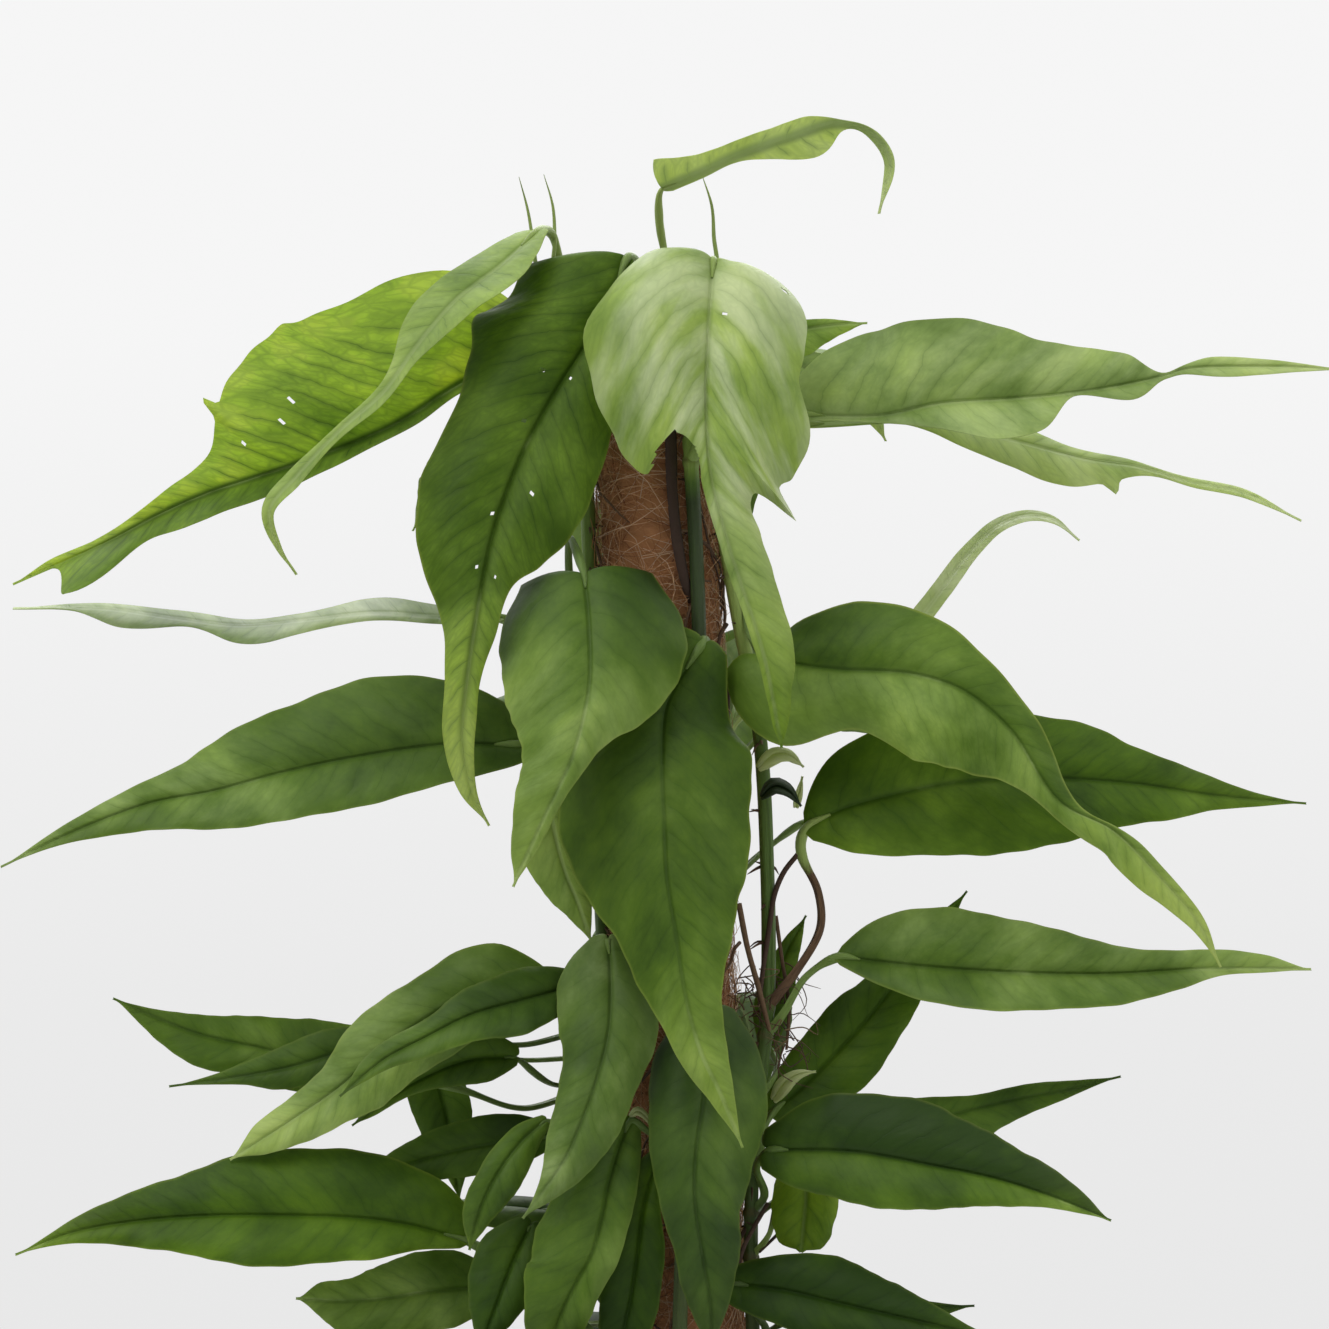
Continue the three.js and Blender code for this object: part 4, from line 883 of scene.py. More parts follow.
def blade(skin, leaf, thickness, slots=(0, 1), fineness=1.0):
    """A closed thin blade with a keel below its midrib."""
    length = leaf["path"].length / MM
    rows = int(np.clip(length / 1.7 * fineness, 18, 130))
    half = 11 if max(max(leaf["left"]), max(leaf["right"])) > 9 else 6
    t = np.concatenate([[0, 0.002, 0.005, 0.01, 0.016], np.linspace(0.025, 1, rows - 5)])
    steps = np.arange(-half, half + 1) / half
    s = np.sign(steps) * np.abs(steps) ** 1.25
    sheet, away = blade_sheet(leaf, t, s)
    columns = len(s)
    lengthwise = np.gradient(sheet, axis=0)
    across = np.gradient(sheet, axis=1)
    normal = unit(np.cross(across, lengthwise))
    share = np.abs(s)[None, :]
    body = thickness * (1 - 0.45 * smooth(share, 0.85, 1)) * np.ones((rows, 1))
    keel = 1.0 * MM * np.exp(-((away / 0.9) ** 2)) * (1 - t[:, None]) ** 0.7 * min(1, length / 110)
    upper = sheet + normal * (body / 2)[..., None]
    lower = sheet - normal * (body / 2 + keel)[..., None]
    kept = eaten(leaf, sheet, (upper, lower))
    under = rows * columns
    faces, sides = [], []
    for i, j in zip(*np.nonzero(kept)):
        a = i * columns + j
        b, c, d = a + 1, a + 1 + columns, a + columns
        faces.append([a, b, c, d])
        faces.append([under + d, under + c, under + b, under + a])
        sides += [slots[0], slots[1]]
    walls = edge_walls(kept, columns, under)
    used, faces = np.unique(np.array(faces + walls), return_inverse=True)
    faces = faces.reshape(-1, 4).tolist()
    sides += [slots[0]] * len(walls)
    places = np.vstack([upper.reshape(-1, 3), lower.reshape(-1, 3)])
    tt, ss = np.meshgrid(t, s, indexing="ij")
    place = np.stack([tt, (ss + 1) / 2], axis=-1).reshape(-1, 2)
    span = np.stack([tt * length / 100, away / 100], axis=-1).reshape(-1, 2)
    age, tip, sheen, thin = leaf["look"]
    span = span + [leaf["seed"] * 7, 0.0]
    # painted shade and light: one half of a blade darker or lighter for the light and shade that fall on it
    left, right = leaf.get("halves", (0, 0))
    course = leaf.get("along", (0, 0))
    age = age + np.interp(tt, np.linspace(0, 1, len(course)), course)
    age = age + left * smooth(-ss, -0.1, 0.1) + right * smooth(ss, -0.1, 0.1)
    kind = np.stack([np.clip(age, 0, 1), np.full(tt.shape, float(thin))], axis=-1).reshape(-1, 2)
    # how strongly the painted sheen shows along the blade
    course = leaf.get("shine", (1, 1))
    painted_sheen = sheen * np.interp(tt, np.linspace(0, 1, len(course)), course)
    tone = np.stack([np.full(tt.shape, float(tip)), painted_sheen], axis=-1).reshape(-1, 2)
    maps = [np.vstack([one, one])[used] for one in (place, span, kind, tone)]
    skin.add(places[used], faces, sides, *maps)


# Stems, stalks, sheaths and roots

def stem_path(vine):
    rows = [round_pole(z, degrees, COIR_RADIUS + STEM_RADIUS + GAP + off) for z, degrees, off in STEMS[vine]]
    return Path(rows)


def at_height(path, z):
    """The place on a rising path at a height in millimetres."""
    shares = np.linspace(0, 1, 500)
    return path.at([np.interp(z * MM, path.at(shares)[:, 2], shares)])[0]


def channelled(angle, share):
    """A leaf stalk's section: a channel along its upper side, between thin wings on its lower part."""
    turn = (angle + np.pi) % (2 * np.pi) - np.pi
    wings = 0.5 * smooth(share, 0.03, 0.12) * (1 - smooth(share, 0.5, 0.72))
    dip = 0.26 * np.exp(-((turn / 0.42) ** 2)) * (1 - smooth(share, 0.8, 0.92))
    edges = np.exp(-(((turn - 0.8) / 0.2) ** 2)) + np.exp(-(((turn + 0.8) / 0.2) ** 2))
    return 1 - dip + wings * edges


def ridged(angle, share):
    """A climbing stem's section, with shallow ridges that turn slowly round it."""
    turn = 3 * share
    return 1 + 0.045 * np.cos(7 * (angle + turn)) + 0.03 * np.cos(2 * angle + 9 * share)


def stalk(skin, leaf, stem):
    foot = at_height(stem, leaf["node"])
    base = leaf["path"].at([0])[0]
    outward = unit(np.array([foot[0] - pole_axis(foot[2] / MM) * MM, foot[1], 0.0]))
    length = np.linalg.norm(base - foot)
    first = foot + outward * length * 0.16 + UP * length * 0.2
    middle = foot * 0.4 + base * 0.6 + UP * length * 0.08
    between = [seen(point) for point in leaf["via"]] if "via" in leaf else [middle]
    path = Path([foot, first, *between, base, leaf["path"].at([0.05])[0]])
    thick = np.interp(leaf["path"].length, [0.06, 0.25], [1.15, 1.9]) * MM
    brown = leaf.get("brown", 0.0)
    age = leaf["look"][0] * 0.75
    knee = leaf.get("joint", age)

    def kind(share):
        near = smooth(share, 0.62, 0.74)
        return np.stack([age + (knee - age) * near, brown * (1 - near)], axis=-1)

    rows = max(16, int(path.length / (1.8 * MM)))
    rod(skin, path, STALK_TAPER * thick, STALK_SIDES, kind, rows, channelled)


def climbing_stem(skin, vine, nodes):
    path = stem_path(vine)
    shares = np.linspace(0, 1, int(path.length / (1.6 * MM)))
    heights = path.at(shares)[:, 2] / MM
    radius = np.full(len(shares), STEM_RADIUS * 0.93)
    for node in nodes:
        radius += 0.6 * np.exp(-(((heights - node) / 1.5) ** 2))
        radius -= 0.3 * np.exp(-(((heights - node - 3.2) / 1.4) ** 2))
    radius = np.clip(radius, 2.1, 3.9) * (1 - 0.35 * smooth(shares, 0.94, 1))
    bare = sorted(nodes)

    def kind(share):
        height = path.at(share)[:, 2] / MM
        age = np.interp(height, *STEM_AGES.get(vine, OTHER_AGES))
        ring = sum(np.exp(-(((height - node - 0.6) / 1.1) ** 2)) for node in bare)
        low = 1 - smooth(height, 150, 330)
        return np.stack([age, np.clip(0.7 * ring + 0.35 * low, 0, 1)], axis=-1)

    rod(skin, path, radius * MM, STEM_SIDES, kind, len(shares), ridged)


def spears(skin, vine):
    top = stem_path(vine).at([1])[0]
    for points in SPEARS.get(vine, ()):
        path = Path([top, *(seen(point) for point in points)])
        rod(skin, path, SHOOT_RADII * MM, SHOOT_SIDES, (0.12, 0.0))


def sheath(skin, row):
    """A dry or pale scale that once wrapped a young leaf."""
    leaf = prepare(row, int(row["rib"][0][2]), "sheath")
    blade(skin, leaf, 0.3 * MM, slots=(0, 0), fineness=1.5)


def root_stub(skin, start, toward, length, radius, draw):
    """A short blunt root that points at the pole."""
    drop = np.array([draw.uniform(-0.2, 0.2), draw.uniform(-0.2, 0.2), draw.uniform(-0.7, 0.1)])
    path = Path([start, start + toward * length * 0.5, start + (toward + drop * 0.6) * length])
    rod(skin, path, STUB_TAPER * radius, ROOT_SIDES, (draw.uniform(0.2, 0.9), 0), 7)


def creeping_root(skin, height, degrees, drift, length, radius, draw):
    """A root that runs over the coir and works its tip into it."""
    count = 7
    points = []
    for share in np.arange(count) / (count - 1):
        lift = 1.6 - 3.2 * max(0, share - 0.6) if share else 3.0
        turned = degrees + drift * share + draw.uniform(-3, 3)
        points.append(round_pole(height - length * share, turned, COIR_RADIUS + lift))
    taper = np.linspace(1.1, 0.35, 6)
    rod(skin, Path(points), taper * radius, ROOT_SIDES, (draw.uniform(0.3, 1), 0))


def roots(skin):
    draw = random.Random(ROOT_SEED)
    for vine, rows in STEMS.items():
        path = stem_path(vine)
        height = ROOTS_FROM
        while height < rows[-1][0] - ROOTS_BELOW_TIP:
            start = at_height(path, height)
            inward = unit(np.array([pole_axis(height) * MM - start[0], -start[1], 0.0]))
            side = np.cross(UP, inward)
            for _ in range(draw.randint(2, 4)):
                toward = inward * draw.uniform(-0.3, 1) + side * draw.uniform(-1, 1)
                toward = unit(toward + UP * draw.uniform(-0.3, 0.2))
                length = draw.uniform(5, 10) * MM
                root_stub(skin, start, toward, length, draw.uniform(0.5, 0.85) * MM, draw)
            if draw.random() < CREEPING_SHARE:
                where = math.degrees(math.atan2(start[0] - pole_axis(height) * MM, -start[1]))
                drift = draw.choice((-1, 1)) * draw.uniform(20, 75)
                length = draw.uniform(12, 60)
                creeping_root(skin, height, where, drift, length, draw.uniform(0.55, 0.95) * MM, draw)
            height += draw.uniform(14, 30)
    for points, radius, brown in ROOT_LINES:
        path = Path([seen(point) for point in points])
        rod(skin, path, OLD_ROOT_TAPER * radius * MM, SHOOT_SIDES, (brown, 0))
    for _ in range(ROOT_HAIRS):
        x, z = draw.uniform(17, 38), draw.uniform(364, 402)
        depth = draw.uniform(-16, 2)
        points = [[x, depth, z]]
        for _ in range(3):
            x, z = x + draw.uniform(-8, 9), z + draw.uniform(-11, 6)
            points.append([x, depth + draw.uniform(-2, 2), z])
        path = Path([seen(point) for point in points])
        rod(skin, path, HAIR_RADII * MM, HAIR_SIDES, (draw.random(), 0), 12)


# The pole

def coir_surface(skin):
    """The felted fibre round the core, uneven as if wound by hand."""
    rows, columns = 230, 96
    heights = np.linspace(COIR_FOOT + 4, POLE_TOP - 1.2, rows)
    degrees = np.arange(columns) / columns * 360
    hh, dd = np.meshgrid(heights, degrees, indexing="ij")
    angle = np.radians(dd)
    relief = np.zeros_like(hh)
    for i in range(rows):
        for j in range(columns):
            a = angle[i, j]
            spot = Vector((math.cos(a) * 2.6, math.sin(a) * 2.6, hh[i, j] * 0.11))
            relief[i, j] = noise.fractal(spot, 0.9, 2.1, 4)
    streaks = 0.35 * np.sin(angle * 5 + hh * 0.19 + 2 * relief)
    streaks += 0.3 * np.sin(angle * 9 - hh * 0.31 + 3 * relief)
    distance = COIR_RADIUS - 2.2 + 0.8 * relief + 0.5 * streaks
    outer = round_pole(hh, dd, distance).reshape(-1, 3)
    inner = round_pole(hh[[-1, 0]], dd[[-1, 0]], np.full((2, columns), CORE_RADIUS + 0.4)).reshape(-1, 3)
    faces = grid_faces(rows, columns, closed=True)
    top, foot = (rows - 1) * columns, 0
    lip, base = rows * columns, rows * columns + columns
    for j in range(columns):
        k = (j + 1) % columns
        faces.append([top + j, top + k, lip + k, lip + j])
        faces.append([lip + j, lip + k, base + k, base + j])
        faces.append([base + j, base + k, foot + k, foot + j])
    skin.add(np.vstack([outer, inner]), faces)


def strands(skin, count, seed, reach, size, lift, wild=1.0):
    """Fibres over the pole, each a thin three-sided rod on a wandering course. reach, size and lift are
    the least and most of its length, its radius and how far it stands off, in millimetres."""
    rng = np.random.default_rng(seed)
    steps = 7
    z = rng.uniform(COIR_FOOT + 30, POLE_TOP, count)
    degrees = rng.uniform(0, 360, count)
    heading = np.radians(rng.normal(0, 34, count) + np.where(rng.random(count) < 0.2, 90, 0))
    stride = rng.uniform(*reach, count) / steps
    turn = rng.normal(0, 0.24 * wild, count)
    rise = rng.uniform(*lift, count)
    arc = rng.uniform(0, 1, count)
    courses = []
    for i in range(steps + 1):
        share = i / steps
        out = COIR_RADIUS - 1.2 + rise * np.sin(np.pi * (0.12 + 0.88 * share) ** (0.6 + arc))
        out = out + 0.4 * rng.normal(0, 1, count)
        courses.append(round_pole(np.clip(z, COIR_FOOT + 6, POLE_TOP + 5), degrees, out))
        z = z + stride * np.sin(heading)
        degrees = degrees + np.degrees(stride * np.cos(heading) / COIR_RADIUS)
        heading = heading + turn + rng.normal(0, 0.22 * wild, count)
    course = np.stack(courses, axis=1)
    ahead = unit(np.gradient(course, axis=1))
    outward = course.copy()
    outward[..., 0] -= pole_axis(course[..., 2] / MM) * MM
    outward[..., 2] = 0
    outward = unit(outward - ahead * np.sum(outward * ahead, axis=-1, keepdims=True))
    across = np.cross(ahead, outward)
    radius = rng.uniform(*size, count)[:, None, None] * MM * np.linspace(1, 0.55, steps + 1)[None, :, None]
    corners = [course + radius * (math.cos(a) * outward + math.sin(a) * across) for a in (0, 2.094, 4.189)]
    ring = np.stack(corners, axis=2).reshape(count, -1, 3)
    one = grid_faces(steps + 1, 3, closed=True) + [[2, 1, 0], [3 * steps, 3 * steps + 1, 3 * steps + 2]]
    per = 3 * (steps + 1)
    faces = [[corner + per * n for corner in face] for n in range(count) for face in one]
    tint = np.repeat(rng.random(count), per)
    kind = np.stack([tint, np.repeat(rng.random(count), per)], axis=-1)
    skin.add(ring.reshape(-1, 3), faces, kind=kind)


# Turned work

def circle(radius, sides, height):
    """Places round the upright axis. height is a number, or a function of the radius and the angle."""
    angles = [j / sides * 2 * math.pi for j in range(sides)]
    heights = [height(radius, angle) if callable(height) else height for angle in angles]
    return [[radius * math.cos(a), radius * math.sin(a), z] for a, z in zip(angles, heights)]


def capped(rings, sides):
    """Faces of rings of places between one place at the start and one at the end."""
    faces = grid_faces(rings, sides, closed=True, start=1)
    last = rings * sides + 1
    for j in range(sides):
        k = (j + 1) % sides
        faces.append([0, 1 + k, 1 + j])
        faces.append([last, last - sides + j, last - sides + k])
    return faces


def turn(skin, profile, sides):
    """A closed body turned about the upright axis, from [radius, height] points in millimetres that
    start and end on the axis."""
    rings = profile[1:-1]
    places = [[0, 0, profile[0][1]]]
    for radius, height in rings:
        places += circle(radius, sides, height)
    places.append([0, 0, profile[-1][1]])
    skin.add(np.array(places, float) * MM, capped(len(rings), sides))


def rounded(corners, radius, steps=4):
    """The profile with each of its inner corners rounded."""
    points = [corners[0]]
    for before, corner, after in zip(corners, corners[1:], corners[2:]):
        a, b, c = (np.array(one, float) for one in (before, corner, after))
        reach = min(radius, np.linalg.norm(a - b) * 0.45, np.linalg.norm(c - b) * 0.45)
        start, end = b + unit(a - b) * reach, b + unit(c - b) * reach
        for i in range(steps + 1):
            f = i / steps
            points.append(list((1 - f) ** 2 * start + 2 * f * (1 - f) * b + f**2 * end))
    points.append(corners[-1])
    return points


def drill(piece, places, radius, depth):
    """Cuts round holes straight up through the piece."""
    tool = Skin()
    sides = 28
    faces = grid_faces(2, sides, closed=True) + [list(range(sides))[::-1], list(range(sides, 2 * sides))]
    for place in places:
        ring = circle(radius, sides, -depth) + circle(radius, sides, depth)
        tool.add((np.array(ring) + place) * MM, faces)
    cutter = tool.piece("drill", [])
    cut = piece.modifiers.new("holes", "BOOLEAN")
    cut.operation = "DIFFERENCE"
    cut.object = cutter
    cut.solver = "EXACT"
    graph = bpy.context.evaluated_depsgraph_get()
    shaped = bpy.data.meshes.new_from_object(piece.evaluated_get(graph))
    piece.modifiers.remove(cut)
    piece.data = shaped
    shaped.name = piece.name
    bpy.data.objects.remove(cutter, do_unlink=True)


def lump(skin, spot, size, draw, slot, kind, fine=1, flat=1.0):
    """One crumb: a small rounded stone shape with its own dents."""
    shape = bmesh.new()
    bmesh.ops.create_icosphere(shape, subdivisions=fine, radius=1)
    stretch = np.array([draw.uniform(0.7, 1.25), draw.uniform(0.7, 1.25), draw.uniform(0.55, 1) * flat])
    turned = np.array([draw.uniform(-1, 1) for _ in range(3)])
    places = []
    for corner in shape.verts:
        dent = 1 + 0.28 * noise.noise(Vector(corner.co) * 1.7 + Vector(turned) * 9)
        places.append(np.array(corner.co) * stretch * dent)
    places = np.array(places)
    angle = draw.uniform(0, math.pi)
    tilt = draw.uniform(-0.6, 0.6)
    c, s = math.cos(angle), math.sin(angle)
    spin = np.array([[c, -s, 0], [s, c, 0], [0, 0, 1]])
    lean = np.array([[1, 0, 0], [0, math.cos(tilt), -math.sin(tilt)], [0, math.sin(tilt), math.cos(tilt)]])
    places = places @ (lean @ spin).T * size * MM + np.array(spot) * MM
    faces = [[corner.index for corner in face.verts] for face in shape.faces]
    shape.free()
    skin.add(places, faces, slot, kind=kind)


def soil_height(radius, angle):
    """The soil's top, in millimetres, at a distance and angle from the middle."""
    dome = SOIL_TOP - 2.6 * smooth(radius, 20, 82) - 2.4 * smooth(radius, 74, 85)
    spot = Vector((radius * math.cos(angle) * 0.06, radius * math.sin(angle) * 0.06, 3.0))
    return dome + 1.5 * noise.fractal(spot, 0.8, 2.0, 4)


# Materials

def put(tree, kind, sockets=(), out=0, **settings):
    """Adds a node, gives its sockets their values or links, and returns one of its outputs."""
    made = tree.nodes.new("ShaderNode" + kind)
    for name, value in settings.items():
        setattr(made, name, value)
    for name, value in dict(sockets).items():
        socket = made.inputs[name]
        if isinstance(value, bpy.types.NodeSocket):
            tree.links.new(value, socket)
        else:
            socket.default_value = value
    return made.outputs[out]


def maths(tree, operation, first, second=0.5, third=None, clamp=False):
    sockets = {0: first, 1: second}
    if third is not None:
        sockets[2] = third
    return put(tree, "Math", sockets, operation=operation, use_clamp=clamp)


def times(tree, first, second, clamp=False):
    return maths(tree, "MULTIPLY", first, second, clamp=clamp)


def fused(tree, first, second, third):
    """first times second, plus third."""
    return maths(tree, "MULTIPLY_ADD", first, second, third)


def stretched(tree, vector, scale):
    return put(tree, "Mapping", {"Vector": vector, "Scale": scale})


def spread(tree, value, low, high, start=0.0, end=1.0):
    """Runs smoothly from start to end while the value goes from low to high."""
    sockets = {"Value": value, "From Min": low, "From Max": high, "To Min": start, "To Max": end}
    return put(tree, "MapRange", sockets, interpolation_type="SMOOTHSTEP")


def mixed(tree, factor, first, second, how="MIX"):
    made = tree.nodes.new("ShaderNodeMix")
    made.data_type = "RGBA"
    made.blend_type = how
    for index, value in ((0, factor), (6, first), (7, second)):
        socket = made.inputs[index]
        if isinstance(value, bpy.types.NodeSocket):
            tree.links.new(value, socket)
        elif index == 0:
            socket.default_value = value
        else:
            socket.default_value = (*value[:3], 1.0)
    return made.outputs[2]


def shades(tree, factor, stops):
    """A colour that runs through (position, colour) stops."""
    made = tree.nodes.new("ShaderNodeValToRGB")
    tree.links.new(factor, made.inputs[0])
    ramp = made.color_ramp
    while len(ramp.elements) < len(stops):
        ramp.elements.new(0.5)
    for element, (position, colour) in zip(ramp.elements, stops):
        element.position = position
        element.color = (*colour[:3], 1.0)
    return made.outputs[0]


def coordinate(tree, name):
    return put(tree, "UVMap", uv_map=name)


def split(tree, vector):
    made = tree.nodes.new("ShaderNodeSeparateXYZ")
    tree.links.new(vector, made.inputs[0])
    return made.outputs[0], made.outputs[1], made.outputs[2]


def grain(tree, vector, scale, detail=4.0, roughness=0.55, distortion=0.0):
    return put(tree, "TexNoise", {
        "Vector": vector, "Scale": scale, "Detail": detail, "Roughness": roughness, "Distortion": distortion,
    })


def effect(name, takes, gives, fill):
    """A shader node group, built once, from named inputs and outputs."""
    tree = bpy.data.node_groups.get(name)
    if tree:
        return tree
    tree = bpy.data.node_groups.new(name, "ShaderNodeTree")
    for label, kind, value in takes:
        socket = tree.interface.new_socket(label, in_out="INPUT", socket_type=kind)
        if value is not None:
            socket.default_value = value
    for label, kind in gives:
        tree.interface.new_socket(label, in_out="OUTPUT", socket_type=kind)
    inside = tree.nodes.new("NodeGroupInput")
    outside = tree.nodes.new("NodeGroupOutput")
    for label, value in fill(tree, inside.outputs).items():
        tree.links.new(value, outside.inputs[label])
    return tree


def use(tree, group, **sockets):
    """Places a node group and returns its outputs by name."""
    made = tree.nodes.new("ShaderNodeGroup")
    made.node_tree = group
    for name, value in sockets.items():
        socket = made.inputs[name]
        if isinstance(value, bpy.types.NodeSocket):
            tree.links.new(value, socket)
        else:
            socket.default_value = value
    return made.outputs


NUMBER, ARROW = "NodeSocketFloat", "NodeSocketVector"


def leaf_pattern():
    """Where a blade's midrib, side veins, fine net, margin, blotches and patches of painted sheen lie."""

    def fill(tree, given):
        t, across, _ = split(tree, given["Place"])
        walk, reach, _ = split(tree, given["Span"])
        side = maths(tree, "SUBTRACT", times(tree, across, 2.0), 1.0)
        share = maths(tree, "ABSOLUTE", side)
        away = maths(tree, "ABSOLUTE", reach)
        on_left = maths(tree, "LESS_THAN", side, 0.0)
        forward = fused(tree, away, -VEIN_SWEEP, walk)
        fuzz = grain(tree, given["Span"], 5.5, 4.0, 0.55)
        lane = fused(tree, on_left, 0.5, maths(tree, "DIVIDE", forward, VEIN_GAP / 100))
        lane = fused(tree, fuzz, 0.9, lane)
        near = maths(tree, "PINGPONG", lane, 0.5)
        fade = times(tree, spread(tree, share, 0.0, 0.1), spread(tree, share, 0.6, 0.95, 1.0, 0.0))
        patchy = grain(tree, given["Span"], 2.6, 3.0, 0.6)
        fade = times(tree, fade, spread(tree, patchy, 0.3, 0.62, 0.45, 1.0))
        wide = times(tree, spread(tree, near, 0.0, 0.3, 0.6, 0.0), fade)
        core = times(tree, spread(tree, near, 0.0, 0.07, 1.0, 0.0), fade)
        veins = maths(tree, "MAXIMUM", wide, core)
        second = maths(tree, "PINGPONG", fused(tree, fuzz, 0.9, maths(tree, "ADD", lane, 0.5)), 0.5)
        second = times(tree, spread(tree, second, 0.0, 0.07, 0.4, 0.0), fade)
        both = maths(tree, "MAXIMUM", veins, second)
        warped = put(tree, "CombineXYZ", {0: fused(tree, fuzz, 0.06, forward), 1: reach, 2: 0.0})
        cells = []
        for scale, stretch in ((15.0, 0.7), (34.0, 0.62)):
            place = stretched(tree, warped, (1.0, stretch, 1.0))
            sockets = {"Vector": place, "Scale": scale, "Randomness": 1.0}
            cells.append(put(tree, "TexVoronoi", sockets, feature="DISTANCE_TO_EDGE"))
        coarse = spread(tree, cells[0], 0.0, 0.13, 1.0, 0.0)
        fine = spread(tree, cells[1], 0.0, 0.17, 0.7, 0.0)
        net = maths(tree, "MAXIMUM", coarse, fine)
        pillow = spread(tree, cells[0], 0.0, 0.4)
        midrib = spread(tree, away, 0.004, 0.014, 1.0, 0.0)
        band = times(tree, spread(tree, away, 0.008, 0.036, 1.0, 0.0), spread(tree, t, 0.75, 1, 1.0, 0.0))
        edge = maths(tree, "DIVIDE", away, maths(tree, "MAXIMUM", share, 0.05))
        edge = maths(tree, "SUBTRACT", edge, away)
        margin = times(tree, spread(tree, edge, 0.001, 0.012, 1.0, 0.0), spread(tree, share, 0.5, 0.7))
        mottle = grain(tree, given["Span"], 3.6, 5.0, 0.6)
        cloud = grain(tree, given["Span"], 1.5, 3.0, 0.5)
        # where the upper side is painted paler, as sheen in place of reflected light
        ribbon = put(tree, "CombineXYZ", {0: forward, 1: times(tree, reach, 0.5), 2: on_left})
        painted_sheen = grain(tree, ribbon, 6.0, 4.0, 0.5)
        painted_sheen = fused(tree, near, 0.12, fused(tree, cloud, 0.5, painted_sheen))
        painted_sheen = spread(tree, painted_sheen, 0.64, 0.94)
        relief = fused(tree, pillow, 0.22, times(tree, veins, -0.4))
        relief = fused(tree, second, -0.15, relief)
        relief = fused(tree, midrib, -0.8, relief)
        relief = fused(tree, mottle, 2.2, relief)
        relief = fused(tree, painted_sheen, 0.6, relief)
        return {
            "Veins": both, "Net": net, "Midrib": midrib, "Margin": margin, "Mottle": mottle, "Cloud": cloud,
            "Painted sheen": painted_sheen, "Relief": relief, "Tip": spread(tree, t, 0.6, 1.0), "Band": band,
        }

    takes = (("Place", ARROW, None), ("Span", ARROW, None))
    gives = ("Veins", "Net", "Midrib", "Band", "Margin", "Mottle", "Cloud", "Painted sheen", "Relief", "Tip")
    return effect("leaf pattern", takes, [(label, NUMBER) for label in gives], fill)


def material(shader):
    """Turns shader(tree, ...) into a function that makes the material of a name, or finds it again."""

    def make(name, *settings):
        made = bpy.data.materials.get(name)
        if made:
            return made
        made = bpy.data.materials.new(name)
        made.use_nodes = True
        tree = made.node_tree
        tree.nodes.clear()
        surface = shader(tree, *settings)
        output = tree.nodes.new("ShaderNodeOutputMaterial")
        tree.links.new(surface, output.inputs["Surface"])
        return made

    return make


def principled(tree, colour, roughness, height=None, depth=0.0, **constants):
    """The Principled shader, with a bump from a height in metres where there is one."""
    sockets = {"Base Color": colour, "Roughness": roughness}
    if height is not None:
        bump = {"Height": height, "Distance": depth, "Strength": 1.0}
        sockets["Normal"] = put(tree, "Bump", bump)
    for name, value in constants.items():
        sockets[name.replace("_", " ")] = value
    return put(tree, "BsdfPrincipled", sockets)


# The leaf's gloss, its green from young to old, the colour of the sheen painted on its upper side and the
# underside's bloom by age
SATIN = {"IOR": 1.45, "Specular IOR Level": 0.22}
YOUNG_TO_OLD = [
    (0.0, (0.420, 0.560, 0.110)), (0.2, (0.270, 0.400, 0.044)), (0.4, (0.155, 0.265, 0.017)),
    (0.6, (0.086, 0.168, 0.007)), (0.8, (0.045, 0.099, 0.004)), (1.0, (0.022, 0.054, 0.004)),
]
SHEEN_PAINT_BY_AGE = [
    (0.0, (0.700, 0.760, 0.500)), (0.3, (0.560, 0.640, 0.370)), (0.6, (0.170, 0.235, 0.095)),
    (1.0, (0.050, 0.085, 0.030)),
]
UNDERSIDE_BY_AGE = [
    (0.0, (0.620, 0.700, 0.420)), (0.35, (0.340, 0.430, 0.210)), (0.65, (0.190, 0.270, 0.110)),
]


